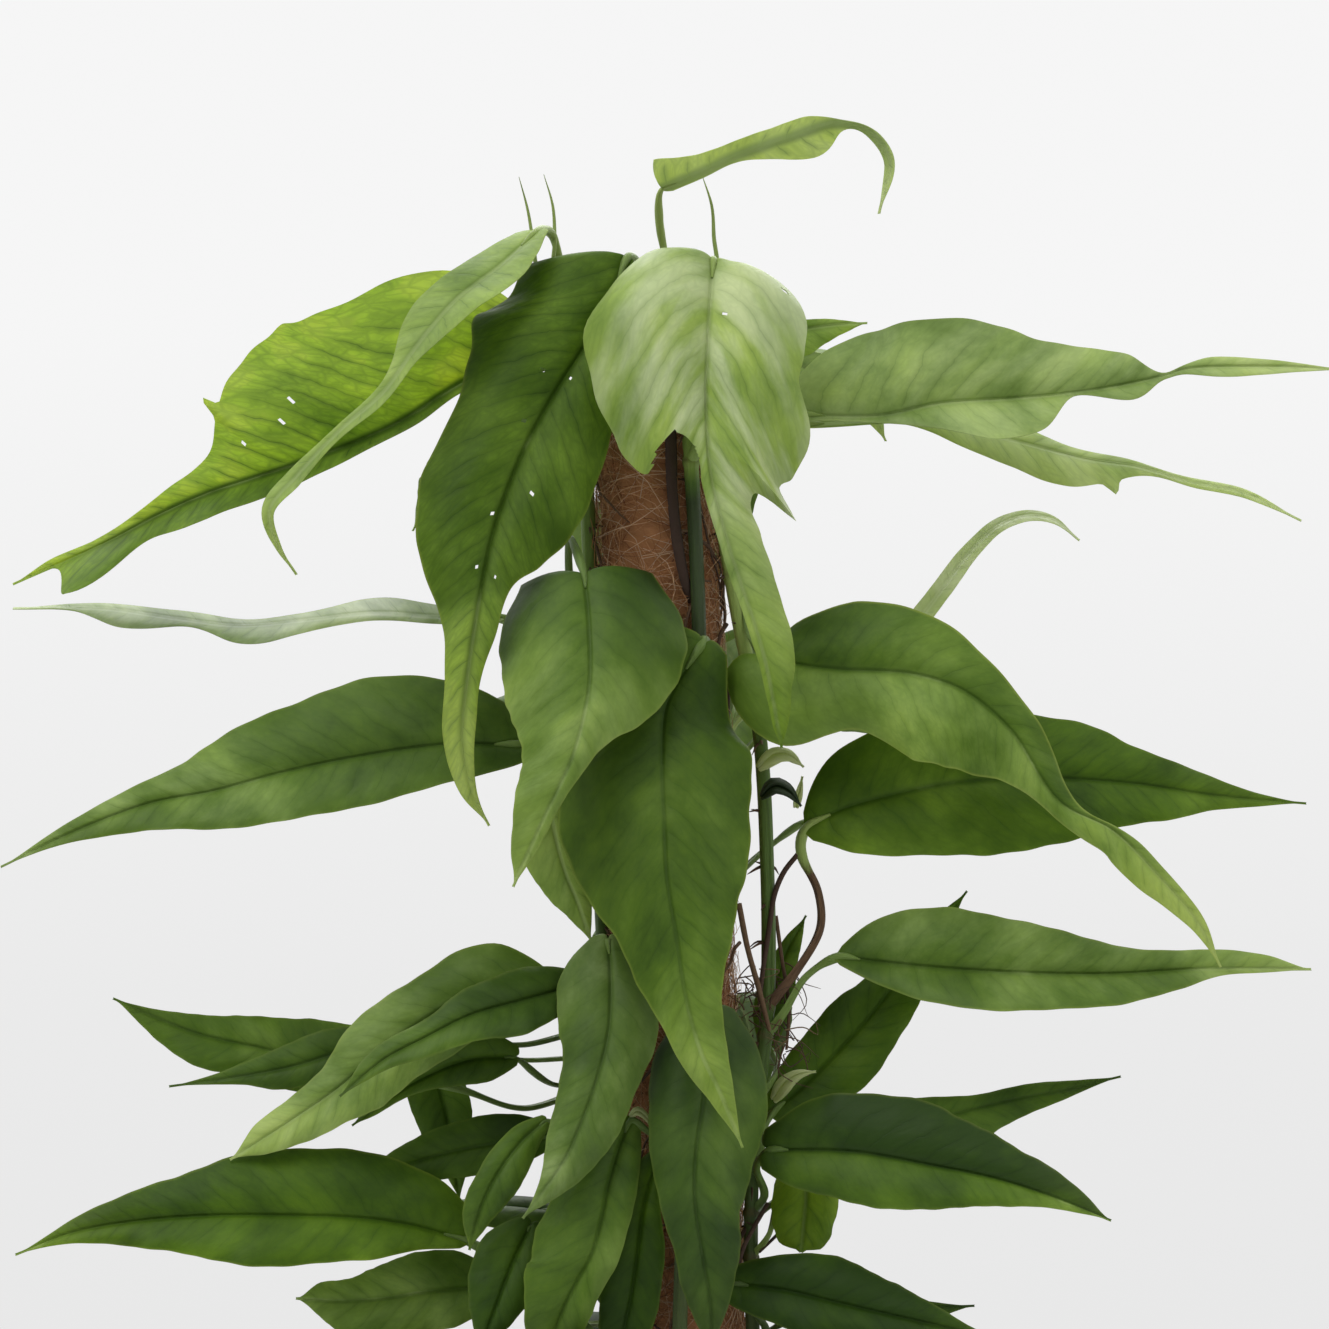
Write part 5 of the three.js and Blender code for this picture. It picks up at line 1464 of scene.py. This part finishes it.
@material
def leaf_material(tree, under, settings):
    """Waxy leaf: green by age, darker along its veins, yellow towards margin and tip, with pale patches of
    painted sheen on its upper side, lit through.
    """
    age, thin, _ = split(tree, coordinate(tree, "kind"))
    tip, sheen, _ = split(tree, coordinate(tree, "tone"))
    shown = use(tree, leaf_pattern(), Place=coordinate(tree, "place"), Span=coordinate(tree, "span"))
    drift = fused(tree, shown["Mottle"], -0.8, maths(tree, "ADD", age, 0.4))
    drift = fused(tree, shown["Cloud"], -0.8, maths(tree, "ADD", drift, 0.4))
    drift = fused(tree, times(tree, shown["Tip"], tip), -0.5, drift)
    green = shades(tree, drift, YOUNG_TO_OLD)
    lively = mixed(tree, 1.0, green, settings.lively, "MULTIPLY")
    blotch = spread(tree, shown["Mottle"], 0.45, 0.68)
    colour = mixed(tree, times(tree, blotch, 0.6), green, lively)
    network = times(tree, shown["Net"], fused(tree, thin, 0.22, 0.14))
    seams = times(tree, shown["Veins"], fused(tree, thin, 0.5, 0.55))
    lines = maths(tree, "MAXIMUM", seams, network)
    lines = maths(tree, "MAXIMUM", lines, times(tree, shown["Band"], thin))
    dark = mixed(tree, 1.0, colour, (0.38, 0.48, 0.42), "MULTIPLY")
    colour = mixed(tree, times(tree, lines, 0.7), colour, dark)
    # the midrib: its own pale green on young blades, darkened on older ones with painted shade of the groove
    # it lies in
    rib = mixed(tree, spread(tree, drift, 0.32, 0.5), (0.330, 0.430, 0.150), dark)
    colour = mixed(tree, times(tree, shown["Midrib"], 0.5), colour, rib)
    gold = times(tree, shown["Margin"], fused(tree, tip, 0.8, 0.15))
    gold = maths(tree, "MAXIMUM", gold, times(tree, shown["Tip"], times(tree, tip, 0.6)))
    colour = mixed(tree, times(tree, gold, 0.8), colour, (0.270, 0.340, 0.045))
    # painted sheen: the upper side is painted paler in patches in place of reflected light. A weak sheen and
    # a strong one lie evenly, one between the two breaks into patches
    broken = times(tree, spread(tree, sheen, 0.8, 1.05, 0.0, 0.5), spread(tree, sheen, 1.2, 1.4, 1.0, 0.0))
    broken = maths(tree, "ADD", broken, 0.22)
    sheen_paint = fused(tree, maths(tree, "SUBTRACT", shown["Painted sheen"], 0.5), broken, 0.5)
    sheen_paint = times(tree, sheen_paint, sheen)
    sheen_paint = times(tree, sheen_paint, maths(tree, "SUBTRACT", 1.0, times(tree, lines, 0.5)))
    sheen_paint_colour = mixed(tree, 1.0, shades(tree, drift, SHEEN_PAINT_BY_AGE), settings.sheen_paint, "MULTIPLY")
    colour = mixed(tree, times(tree, sheen_paint, 0.0 if under else 0.85), colour, sheen_paint_colour)
    if under:
        colour = mixed(tree, 0.5, colour, shades(tree, drift, UNDERSIDE_BY_AGE))
        colour = mixed(tree, times(tree, shown["Midrib"], 0.6), colour, (0.270, 0.340, 0.120))
    rough = fused(tree, sheen_paint, -0.14, 0.47 if not under else 0.56)
    rough = fused(tree, shown["Mottle"], 0.1, rough)
    wax = principled(tree, colour, rough, shown["Relief"], (-0.0003 if under else 0.0003), **SATIN)
    glow = mixed(tree, 1.0, green, (2.3, 1.95, 0.4), "MULTIPLY")
    glow = mixed(tree, 1.0, glow, (0.72, 0.82, 0.2), "DARKEN")
    glow = mixed(tree, times(tree, lines, 0.9), glow, dark)
    through = put(tree, "BsdfTranslucent", {"Color": glow})
    share = fused(tree, thin, 0.4, 0.12)
    return put(tree, "MixShader", {0: share, 1: wax, 2: through})


@material
def stalk_material(tree):
    """Green stalk and stem skin, streaked lengthwise and brown where it is old."""
    age, brown, _ = split(tree, coordinate(tree, "kind"))
    span = coordinate(tree, "span")
    streak = grain(tree, stretched(tree, span, (2.0, 70.0, 1.0)), 6.0, 3.0)
    blotch = grain(tree, stretched(tree, span, (1.0, 8.0, 1.0)), 11.0, 5.0, 0.65)
    fleck = put(tree, "TexVoronoi", {"Vector": stretched(tree, span, (1.0, 10.0, 1.0)), "Scale": 42.0})
    colour = shades(tree, fused(tree, streak, 0.3, maths(tree, "SUBTRACT", age, 0.15)), [
        (0.0, (0.330, 0.430, 0.110)), (0.3, (0.200, 0.300, 0.055)), (0.6, (0.085, 0.155, 0.024)),
        (1.0, (0.030, 0.052, 0.012)),
    ])
    bark = shades(tree, blotch, [(0.3, (0.055, 0.026, 0.011)), (0.7, (0.150, 0.080, 0.034))])
    worn = times(tree, brown, spread(tree, blotch, 0.3, 0.55), clamp=True)
    worn = maths(tree, "MAXIMUM", worn, spread(tree, brown, 0.55, 0.95))
    colour = mixed(tree, worn, colour, bark)
    spots = times(tree, spread(tree, fleck, 0.05, 0.16, 1.0, 0.0), 0.35)
    colour = mixed(tree, spots, colour, (0.220, 0.260, 0.090))
    height = fused(tree, blotch, 0.7, streak)
    return principled(tree, colour, fused(tree, worn, 0.3, 0.42), height, 0.00035, IOR=1.46)


@material
def root_material(tree):
    """Aerial root: corky, brown to straw, with fine hairs caught as relief."""
    age, _, _ = split(tree, coordinate(tree, "kind"))
    here = put(tree, "TexCoord", out=3)
    rough = grain(tree, here, 900.0, 5.0, 0.7)
    bands = grain(tree, stretched(tree, coordinate(tree, "span"), (14.0, 3.0, 1.0)), 7.0, 2.0)
    colour = shades(tree, fused(tree, rough, 0.5, times(tree, age, 0.7)), [
        (0.0, (0.230, 0.170, 0.075)), (0.5, (0.105, 0.055, 0.025)), (1.0, (0.038, 0.018, 0.010)),
    ])
    height = fused(tree, bands, 0.6, rough)
    return principled(tree, colour, 0.82, height, 0.0003)


@material
def sheath_material(tree):
    """Papery scale, pale green to straw, ribbed lengthwise and lit through."""
    age, _, _ = split(tree, coordinate(tree, "kind"))
    ribs = grain(tree, stretched(tree, coordinate(tree, "span"), (1.0, 30.0, 1.0)), 8.0, 3.0)
    colour = shades(tree, fused(tree, ribs, 0.25, age), [
        (0.0, (0.640, 0.690, 0.400)), (0.4, (0.440, 0.500, 0.210)), (0.8, (0.050, 0.095, 0.022)),
        (1.0, (0.022, 0.042, 0.012)),
    ])
    skin = principled(tree, colour, 0.5, ribs, 0.0004)
    through = put(tree, "BsdfTranslucent", {"Color": mixed(tree, 1.0, colour, (1.3, 1.3, 0.9), "MULTIPLY")})
    return put(tree, "MixShader", {0: 0.4, 1: skin, 2: through})


@material
def coir_material(tree, light):
    """Coconut fibre, rust brown with darker and paler strands."""
    tint, _, _ = split(tree, coordinate(tree, "kind"))
    here = put(tree, "TexCoord", out=3)
    wind = stretched(tree, here, (1.0, 1.0, 2.6))
    fine = grain(tree, wind, 520.0, 5.0, 0.7, 1.2)
    broad = grain(tree, wind, 46.0, 4.0, 0.6)
    mix = fused(tree, tint, 0.7, times(tree, fine, 0.25))
    mix = fused(tree, broad, 0.2, mix)
    colour = shades(tree, mix, [
        (0.15, (0.110, 0.040, 0.017)), (0.45, (0.330, 0.138, 0.056)), (0.75, (0.520, 0.262, 0.118)),
        (1.0, (0.680, 0.440, 0.250)),
    ])
    if light:
        colour = mixed(tree, 0.6, colour, (0.760, 0.600, 0.430))
    return principled(tree, colour, 0.85, fine, 0.0006, **{"Specular IOR Level": 0.3})


@material
def soil_material(tree):
    here = put(tree, "TexCoord", out=3)
    broad = grain(tree, here, 130.0, 6.0, 0.7)
    fine = grain(tree, here, 900.0, 4.0, 0.7)
    mix = fused(tree, fine, 0.4, times(tree, broad, 0.7))
    colour = shades(tree, mix, [
        (0.3, (0.010, 0.006, 0.004)), (0.55, (0.030, 0.017, 0.010)), (0.8, (0.085, 0.050, 0.028)),
    ])
    height = fused(tree, broad, 1.0, fine)
    return principled(tree, colour, 0.95, height, 0.0012, **{"Specular IOR Level": 0.25})


# The crumbs' names, colours from dark to light, roughness, scale of their grain and its depth
CRUMBS = [
    ("peat crumb", [(0.2, (0.010, 0.006, 0.004)), (0.9, (0.075, 0.042, 0.023))], 0.95, 1500.0, 0.0006),
    ("bark chip", [(0.2, (0.035, 0.018, 0.010)), (0.9, (0.190, 0.100, 0.052))], 0.85, 700.0, 0.0006),
    ("white grain", [(0.2, (0.42, 0.40, 0.36)), (0.9, (0.78, 0.77, 0.73))], 0.9, 1800.0, 0.0004),
]


@material
def crumb_material(tree, stops, roughness, scale, depth):
    """Bark, peat and volcanic crumbs, from their own colours and grain."""
    tint, _, _ = split(tree, coordinate(tree, "kind"))
    here = put(tree, "TexCoord", out=3)
    fine = grain(tree, here, scale, 5.0, 0.7)
    colour = shades(tree, fused(tree, fine, 0.6, times(tree, tint, 0.5)), stops)
    return principled(tree, colour, roughness, fine, depth)


def surface_wear():
    """Scuffs, dust and a fine moulded grain for made surfaces."""

    def fill(tree, given):
        cloud = grain(tree, given["Place"], 16.0, 6.0, 0.65)
        drawn = stretched(tree, given["Place"], (1.0, 1.0, 0.08))
        scratch = spread(tree, grain(tree, drawn, 420.0, 2.0, 0.4), 0.68, 0.8)
        _, _, height = split(tree, given["Place"])
        low = spread(tree, height, 0.0, given["Dust height"], 1.0, 0.0)
        dust = times(tree, low, spread(tree, cloud, 0.35, 0.7))
        pores = grain(tree, given["Place"], given["Grain scale"], 3.0, 0.6)
        return {"Cloud": cloud, "Scratches": scratch, "Dust": dust, "Grain": pores}

    takes = (("Place", ARROW, None), ("Dust height", NUMBER, 0.05), ("Grain scale", NUMBER, 1400.0))
    gives = [(label, NUMBER) for label in ("Cloud", "Scratches", "Dust", "Grain")]
    return effect("surface wear", takes, gives, fill)


@material
def pot_material(tree, settings):
    """Matte moulded plastic, lightly scuffed, with dried water marks and dust near its foot."""
    here = put(tree, "TexCoord", out=3)
    worn = use(tree, surface_wear(), Place=here)
    base = tuple(settings.colour)
    paler = tuple(min(1, one * 1.7 + 0.012) for one in base)
    colour = mixed(tree, worn["Cloud"], base, paler)
    colour = mixed(tree, times(tree, worn["Scratches"], 0.35), colour, (0.16, 0.16, 0.16))
    colour = mixed(tree, times(tree, worn["Dust"], 0.4), colour, (0.20, 0.17, 0.13))
    rough = fused(tree, worn["Cloud"], 0.22, 0.42)
    rough = fused(tree, worn["Dust"], 0.25, rough)
    return principled(tree, colour, rough, worn["Grain"], 0.00012)


@material
def stake_material(tree):
    """The wooden core: pale end grain with rings, streaked sides."""
    here = put(tree, "TexCoord", out=3)
    worn = use(tree, surface_wear(), Place=here)
    sockets = {"Vector": here, "Scale": 130.0, "Distortion": 3.0, "Detail": 3.0}
    rings = put(tree, "TexWave", sockets, wave_type="RINGS", rings_direction="Z")
    fibre = grain(tree, stretched(tree, here, (1.0, 1.0, 0.06)), 300.0, 4.0, 0.6)
    mix = fused(tree, rings, 0.35, times(tree, fibre, 0.6))
    colour = shades(tree, mix, [
        (0.2, (0.150, 0.085, 0.042)), (0.6, (0.300, 0.195, 0.105)), (0.9, (0.400, 0.290, 0.175)),
    ])
    colour = mixed(tree, times(tree, worn["Cloud"], 0.3), colour, (0.12, 0.09, 0.07))
    return principled(tree, colour, 0.82, fibre, 0.0003)


@material
def floor_material(tree, settings):
    """A pale floor that melts into the background at its rim."""
    here = put(tree, "TexCoord", out=3)
    radius = put(tree, "VectorMath", {0: stretched(tree, here, (1, 1, 0))}, out=1, operation="LENGTH")
    cloud = grain(tree, here, 2.5, 3.0)
    paler = tuple(min(1, 1.02 * one) for one in settings.floor_colour)
    colour = mixed(tree, cloud, settings.floor_colour, paler)
    solid = principled(tree, colour, 0.75, **{"Specular IOR Level": 0.2})
    clear = put(tree, "BsdfTransparent", {"Color": (1, 1, 1, 1)})
    rim = spread(tree, radius, settings.floor_radius * 0.35, settings.floor_radius * 0.97)
    return put(tree, "MixShader", {0: rim, 1: solid, 2: clear})


# Settings

class PotSettings(bpy.types.PropertyGroup):
    """The pot's sizes and colour."""
    rim_radius: bpy.props.FloatProperty(
        name="Rim radius", description="Radius of the pot across its rim",
        default=(POT_BOX[1][0] - POT_BOX[0][0]) / 2, min=0.03, unit="LENGTH",
    )
    height: bpy.props.FloatProperty(
        name="Height", description="Height of the pot",
        default=POT_BOX[1][2] - POT_BOX[0][2], min=0.05, unit="LENGTH",
    )
    colour: bpy.props.FloatVectorProperty(
        name="Colour", description="Colour of the pot's plastic", subtype="COLOR",
        default=(0.030, 0.031, 0.033), min=0, max=1,
    )


class PoleSettings(bpy.types.PropertyGroup):
    """How dense the coir is."""
    fibres: bpy.props.IntProperty(
        name="Fibres", description="Loose fibres over the coir", default=3900, min=0, subtype="UNSIGNED",
    )
    pale_fibres: bpy.props.IntProperty(
        name="Pale fibres", description="Straw-coloured fibres among them", default=900, min=0,
        subtype="UNSIGNED",
    )


class LeafSettings(bpy.types.PropertyGroup):
    """The blades' thickness, the tint of their lighter blotches and the tint of their painted sheen."""
    thickness: bpy.props.FloatProperty(
        name="Thickness", description="Thickness of a blade", default=0.42 * MM, min=0.1 * MM, unit="LENGTH",
    )
    lively: bpy.props.FloatVectorProperty(
        name="Blotch tint", description="How the lighter blotches differ from the green round them",
        subtype="COLOR", default=(1.0, 1.0, 0.72), min=0, max=1,
    )
    sheen_paint: bpy.props.FloatVectorProperty(
        name="Satin tint", description="Tint of the painted sheen patches on the upper side",
        subtype="COLOR", default=(1.0, 1.0, 1.0), min=0, max=1,
    )


class SoilSettings(bpy.types.PropertyGroup):
    """How coarse the soil's top is."""
    crumbs: bpy.props.IntProperty(
        name="Crumbs", description="Dark crumbs on the soil", default=900, min=0, subtype="UNSIGNED",
    )
    white_grains: bpy.props.IntProperty(
        name="White grains", description="Light volcanic grains in the soil", default=120, min=0,
        subtype="UNSIGNED",
    )


class StageSettings(bpy.types.PropertyGroup):
    """Floor, light and camera."""
    floor_radius: bpy.props.FloatProperty(
        name="Floor radius", description="Radius of the pale floor", default=1.38, min=0.4, unit="LENGTH",
    )
    floor_colour: bpy.props.FloatVectorProperty(
        name="Floor colour", description="Colour of the floor", subtype="COLOR",
        default=(0.84, 0.84, 0.84), min=0, max=1,
    )
    sky: bpy.props.FloatProperty(
        name="Sky", description="Strength of the light from straight above", default=0.9, min=0,
    )
    wall: bpy.props.FloatProperty(
        name="Back wall", description="Strength of the light from behind the plant", default=0.7, min=0,
    )
    front: bpy.props.FloatProperty(
        name="Room", description="Strength of the light from the viewer's side", default=0.22, min=0,
    )
    key_power: bpy.props.FloatProperty(
        name="Key light", description="Power of the broad light above the plant, in watts",
        default=16.0, min=0,
    )
    back_power: bpy.props.FloatProperty(
        name="Back light", description="Power of the light behind the plant, in watts", default=14.0, min=0,
    )


class PlantSettings(bpy.types.PropertyGroup):
    """Everything that a user may change."""
    pot: bpy.props.PointerProperty(type=PotSettings)
    pole: bpy.props.PointerProperty(type=PoleSettings)
    leaves: bpy.props.PointerProperty(type=LeafSettings)
    soil: bpy.props.PointerProperty(type=SoilSettings)
    stage: bpy.props.PointerProperty(type=StageSettings)


# Operators

class MakePot(bpy.types.Operator):
    """Turns the nursery pot with its rolled rim, collar and drain holes"""
    bl_idname = "pothos.make_pot"
    bl_label = "Pot"

    def execute(self, context):
        settings = context.scene.pothos.pot
        rim = settings.rim_radius / MM
        top = settings.height / MM
        collar = top - COLLAR_HEIGHT
        corners = [
            [0, 0], [POT_FOOT_RADIUS, 0], [POT_FOOT_RADIUS + 0.6, 4], [POT_FOOT_RADIUS + 1.8, 5],
            [POT_COLLAR_RADIUS - 4, collar - 2], [POT_COLLAR_RADIUS - 1, collar],
            [POT_COLLAR_RADIUS - 0.4, collar + 2.4], [rim - 2.2, top - 5], [rim, top - 4.2],
            [rim, top - 1], [rim - 1, top], [rim - 2.6, top], [rim - 3.4, top - 1.4],
            [POT_COLLAR_RADIUS - POT_WALL, collar + 1], [POT_COLLAR_RADIUS - 4 - POT_WALL, collar - 4],
            [POT_FOOT_RADIUS - POT_WALL, POT_WALL + 0.4], [0, POT_WALL + 0.4],
        ]
        skin = Skin()
        turn(skin, rounded(corners, 1.2), 160)
        piece = skin.piece("nursery_pot", [pot_material("nursery pot plastic", settings)], sharp=40)
        drill(piece, circle(DRAIN_CIRCLE, DRAIN_COUNT, 0), DRAIN_RADIUS, POT_WALL * 3)
        settle(piece, "pot_plastic", "pot")
        return {"FINISHED"}


class MakeSoil(bpy.types.Operator):
    """Fills the pot with soil and strews crumbs, bark and white grains over it"""
    bl_idname = "pothos.make_soil"
    bl_label = "Soil"

    def execute(self, context):
        settings = context.scene.pothos.soil
        collar = POT_BOX[1][2] / MM - COLLAR_HEIGHT - 4
        top_edge = SOIL_TOP - 8
        inside = POT_FOOT_RADIUS - POT_WALL
        slope = (POT_COLLAR_RADIUS - 4 - POT_WALL - inside) / (collar - POT_WALL)
        edge = inside + slope * (top_edge - POT_WALL) - 0.4
        rings, sides = 56, 150
        places = [[0, 0, soil_height(0, 0)]]
        for i in range(1, rings + 1):
            places += circle(edge * (i / rings) ** 0.85, sides, soil_height)
        for height in (top_edge - 6, 30, POT_WALL + 0.8):
            places += circle(inside + slope * (height - POT_WALL) - 0.4, sides, height)
        places.append([0, 0, POT_WALL + 0.8])
        skin = Skin()
        skin.add(np.array(places) * MM, [face[::-1] for face in capped(rings + 3, sides)])
        settle(skin.piece("soil_bed", [soil_material("potting soil")]), "potting_soil", "soil")
        draw = random.Random(CRUMB_SEED)
        crumbs = Skin()

        def strew(count, low, high, slot, fine, flat, sink):
            for _ in range(count):
                radius = edge * math.sqrt(draw.uniform(0.0, 0.97))
                angle = draw.uniform(0, 2 * math.pi)
                x, y = radius * math.cos(angle), radius * math.sin(angle)
                if math.hypot(x, y) < COIR_RADIUS + 1:
                    continue
                size = low + (high - low) * draw.random() ** 2.2
                spot = [x, y, soil_height(radius, angle) + size * sink]
                lump(crumbs, spot, size, draw, slot, (draw.random(), draw.random()), fine, flat)

        strew(settings.crumbs, 0.6, 2.6, 0, 1, 1.0, 0.2)
        strew(BARK_CHIPS, 2.2, 5.5, 1, 2, 0.42, 0.15)
        strew(settings.white_grains, 0.8, 2.4, 2, 2, 1.0, 0.3)
        settle(crumbs.piece("soil_crumbs", [crumb_material(*row) for row in CRUMBS]), "potting_soil")
        return {"FINISHED"}


class MakePole(bpy.types.Operator):
    """Makes the wooden core, the coir round it and its loose fibres"""
    bl_idname = "pothos.make_pole"
    bl_label = "Coir pole"

    def execute(self, context):
        settings = context.scene.pothos.pole
        core = Skin()
        profile = [
            [0, CORE_FOOT], [CORE_RADIUS - 1, CORE_FOOT], [CORE_RADIUS, CORE_FOOT + 1.5],
            [CORE_RADIUS, POLE_TOP - 4], [CORE_RADIUS - 1.4, POLE_TOP - 2.2], [0, POLE_TOP - 2],
        ]
        turn(core, profile, 64)
        for places in core.places:
            places[:, 0] += pole_axis(places[:, 2] / MM) * MM
        settle(core.piece("pole_stake", [stake_material("pole wood")], sharp=30), "pole_wood", "pole_core")
        body = Skin()
        coir_surface(body)
        settle(body.piece("coir_body", [coir_material("coir felt", False)], sharp=80), "coir", "coir_wrap")
        fibres = Skin()
        strands(fibres, settings.fibres, seed=5, reach=(12, 50), size=(0.12, 0.24), lift=(0.0, 2.6))
        loose = settings.fibres // 8
        strands(fibres, loose, seed=6, reach=(20, 60), size=(0.09, 0.15), lift=(1.5, 6.0), wild=1.6)
        settle(fibres.piece("coir_fibres", [coir_material("coir fibre", False)]), "coir")
        pale = Skin()
        count = settings.pale_fibres
        strands(pale, count, seed=7, reach=(25, 90), size=(0.1, 0.2), lift=(0.6, 3.6), wild=0.8)
        settle(pale.piece("pale_fibres", [coir_material("pale fibre", True)]), "coir")
        return {"FINISHED"}


class MakeLeaves(bpy.types.Operator):
    """Shapes every blade from its midrib and reach, one piece for each climbing stem"""
    bl_idname = "pothos.make_leaves"
    bl_label = "Leaf blades"

    def execute(self, context):
        settings = context.scene.pothos.leaves
        upper = leaf_material("leaf upper side", False, settings)
        faces = [upper, leaf_material("leaf under side", True, settings)]
        for vine in STEMS:
            skin = Skin()
            for leaf in leaves_of(vine):
                blade(skin, leaf, settings.thickness)
            settle(skin.piece(f"blades_{vine}", faces), "leaf", f"vine_{vine}")
        return {"FINISHED"}


class MakeStems(bpy.types.Operator):
    """Grows the climbing stems, leaf stalks, furled tips and scales"""
    bl_idname = "pothos.make_stems"
    bl_label = "Stems and stalks"

    def execute(self, context):
        skin_finish = [stalk_material("stalk skin")]
        for vine in STEMS:
            skin = Skin()
            leaves = leaves_of(vine)
            climbing_stem(skin, vine, [leaf["node"] for leaf in leaves])
            path = stem_path(vine)
            for leaf in leaves:
                stalk(skin, leaf, path)
            spears(skin, vine)
            settle(skin.piece(f"stem_{vine}", skin_finish), "leaf", f"vine_{vine}")
        scales = Skin()
        for row in SHEATHS:
            sheath(scales, row)
        settle(scales.piece("node_scales", [sheath_material("leaf scale")]), "leaf")
        return {"FINISHED"}


class MakeRoots(bpy.types.Operator):
    """Sets aerial roots along the stems and over the coir"""
    bl_idname = "pothos.make_roots"
    bl_label = "Aerial roots"

    def execute(self, context):
        skin = Skin()
        roots(skin)
        settle(skin.piece("aerial_roots", [root_material("aerial root")]), "leaf")
        return {"FINISHED"}


def area_light(name, spot, aim, size, power):
    lamp = bpy.data.lights.new(name, "AREA")
    lamp.shape = "RECTANGLE"
    lamp.size, lamp.size_y = size
    lamp.energy = power
    made = bpy.data.objects.new(name, lamp)
    made.location = spot
    made.rotation_euler = (Vector(aim) - Vector(spot)).to_track_quat("-Z", "Y").to_euler()
    bpy.context.scene.collection.objects.link(made)


class MakeStage(bpy.types.Operator):
    """Sets the pale floor, the soft lights, the even background and the camera"""
    bl_idname = "pothos.make_stage"
    bl_label = "Stage"

    def execute(self, context):
        settings = context.scene.pothos.stage
        scene = context.scene
        disc = Skin()
        sides = 128
        places = [[0, 0, FLOOR_LEVEL]]
        for radius in (0.2, 0.5, 0.8, 1.0):
            places += circle(radius * settings.floor_radius, sides, FLOOR_LEVEL)
        faces = [face[::-1] for face in grid_faces(4, sides, closed=True, start=1)]
        faces += [[0, 1 + j, 1 + (j + 1) % sides] for j in range(sides)]
        disc.add(np.array(places), faces)
        disc.piece("floor", [floor_material("pale floor", settings)])
        middle = (0.0, 0.0, 0.45)
        area_light("key light", (-0.9, -0.9, 1.9), middle, (1.4, 1.4), settings.key_power)
        area_light("fill light", (1.5, -1.2, 0.9), middle, (1.2, 1.2), settings.key_power * 0.3)
        area_light("back light", (0.1, 1.4, 1.6), (0.0, 0.0, 0.6), (1.8, 1.0), settings.back_power)
        world = bpy.data.worlds.new("bright room")
        scene.world = world
        world.use_nodes = True
        tree = world.node_tree
        tree.nodes.clear()
        _, depth, height = split(tree, put(tree, "TexCoord", out=0))
        wall = shades(tree, fused(tree, height, 0.5, 0.5), [
            (0.40, (0.80, 0.80, 0.80)), (0.46, (0.825, 0.825, 0.825)), (0.54, (0.92, 0.92, 0.92)),
        ])
        above = spread(tree, height, -0.1, 0.9, 0.0, settings.sky)
        behind = spread(tree, depth, -0.3, 0.7, settings.front, settings.wall)
        room = maths(tree, "ADD", above, behind)
        lit = put(tree, "Background", {"Color": (1.0, 1.0, 1.0, 1.0), "Strength": room})
        shown = put(tree, "Background", {"Color": wall, "Strength": 1.0})
        is_seen = put(tree, "LightPath", out=0)
        output = tree.nodes.new("ShaderNodeOutputWorld")
        tree.links.new(put(tree, "MixShader", {0: is_seen, 1: lit, 2: shown}), output.inputs["Surface"])
        camera = bpy.data.cameras.new("photo camera")
        camera.sensor_width = SENSOR_WIDTH
        camera.lens = SENSOR_WIDTH / 2 / (SEEN_HALF_WIDTH / (-EYE[1] * MM))
        camera.clip_start = 0.05
        seat = bpy.data.objects.new("photo camera", camera)
        seat.location = tuple(EYE * MM)
        seat.rotation_euler = (math.radians(90), 0, 0)
        scene.collection.objects.link(seat)
        scene.camera = seat
        scene.view_settings.view_transform = "Standard"
        return {"FINISHED"}


class PlantPanel(bpy.types.Panel):
    """Lists the plant's pieces and settings in the sidebar"""
    bl_idname = "POTHOS_PT_sidebar"
    bl_label = "Potted pothos"
    bl_space_type = "VIEW_3D"
    bl_region_type = "UI"
    bl_category = "Pothos"

    def draw(self, context):
        settings = context.scene.pothos
        for operator, group in zip(OPERATORS, ("pot", "soil", "pole", "leaves", None, None, "stage")):
            box = self.layout.box()
            box.operator(operator.bl_idname)
            chosen = getattr(settings, group) if group else None
            for name in chosen.__annotations__ if chosen else ():
                box.prop(chosen, name)


OPERATORS = (MakePot, MakeSoil, MakePole, MakeLeaves, MakeStems, MakeRoots, MakeStage)
CLASSES = (
    PotSettings, PoleSettings, LeafSettings, SoilSettings, StageSettings, PlantSettings, *OPERATORS,
    PlantPanel,
)


def register():
    for one in CLASSES:
        bpy.utils.register_class(one)
    bpy.types.Scene.pothos = bpy.props.PointerProperty(type=PlantSettings)


def unregister():
    del bpy.types.Scene.pothos
    for one in reversed(CLASSES):
        bpy.utils.unregister_class(one)


def main():
    register()
    bpy.ops.pothos.make_pot()
    bpy.ops.pothos.make_soil()
    bpy.ops.pothos.make_pole()
    bpy.ops.pothos.make_leaves()
    bpy.ops.pothos.make_stems()
    bpy.ops.pothos.make_roots()
    bpy.ops.pothos.make_stage()


if __name__ == "__main__":
    main()
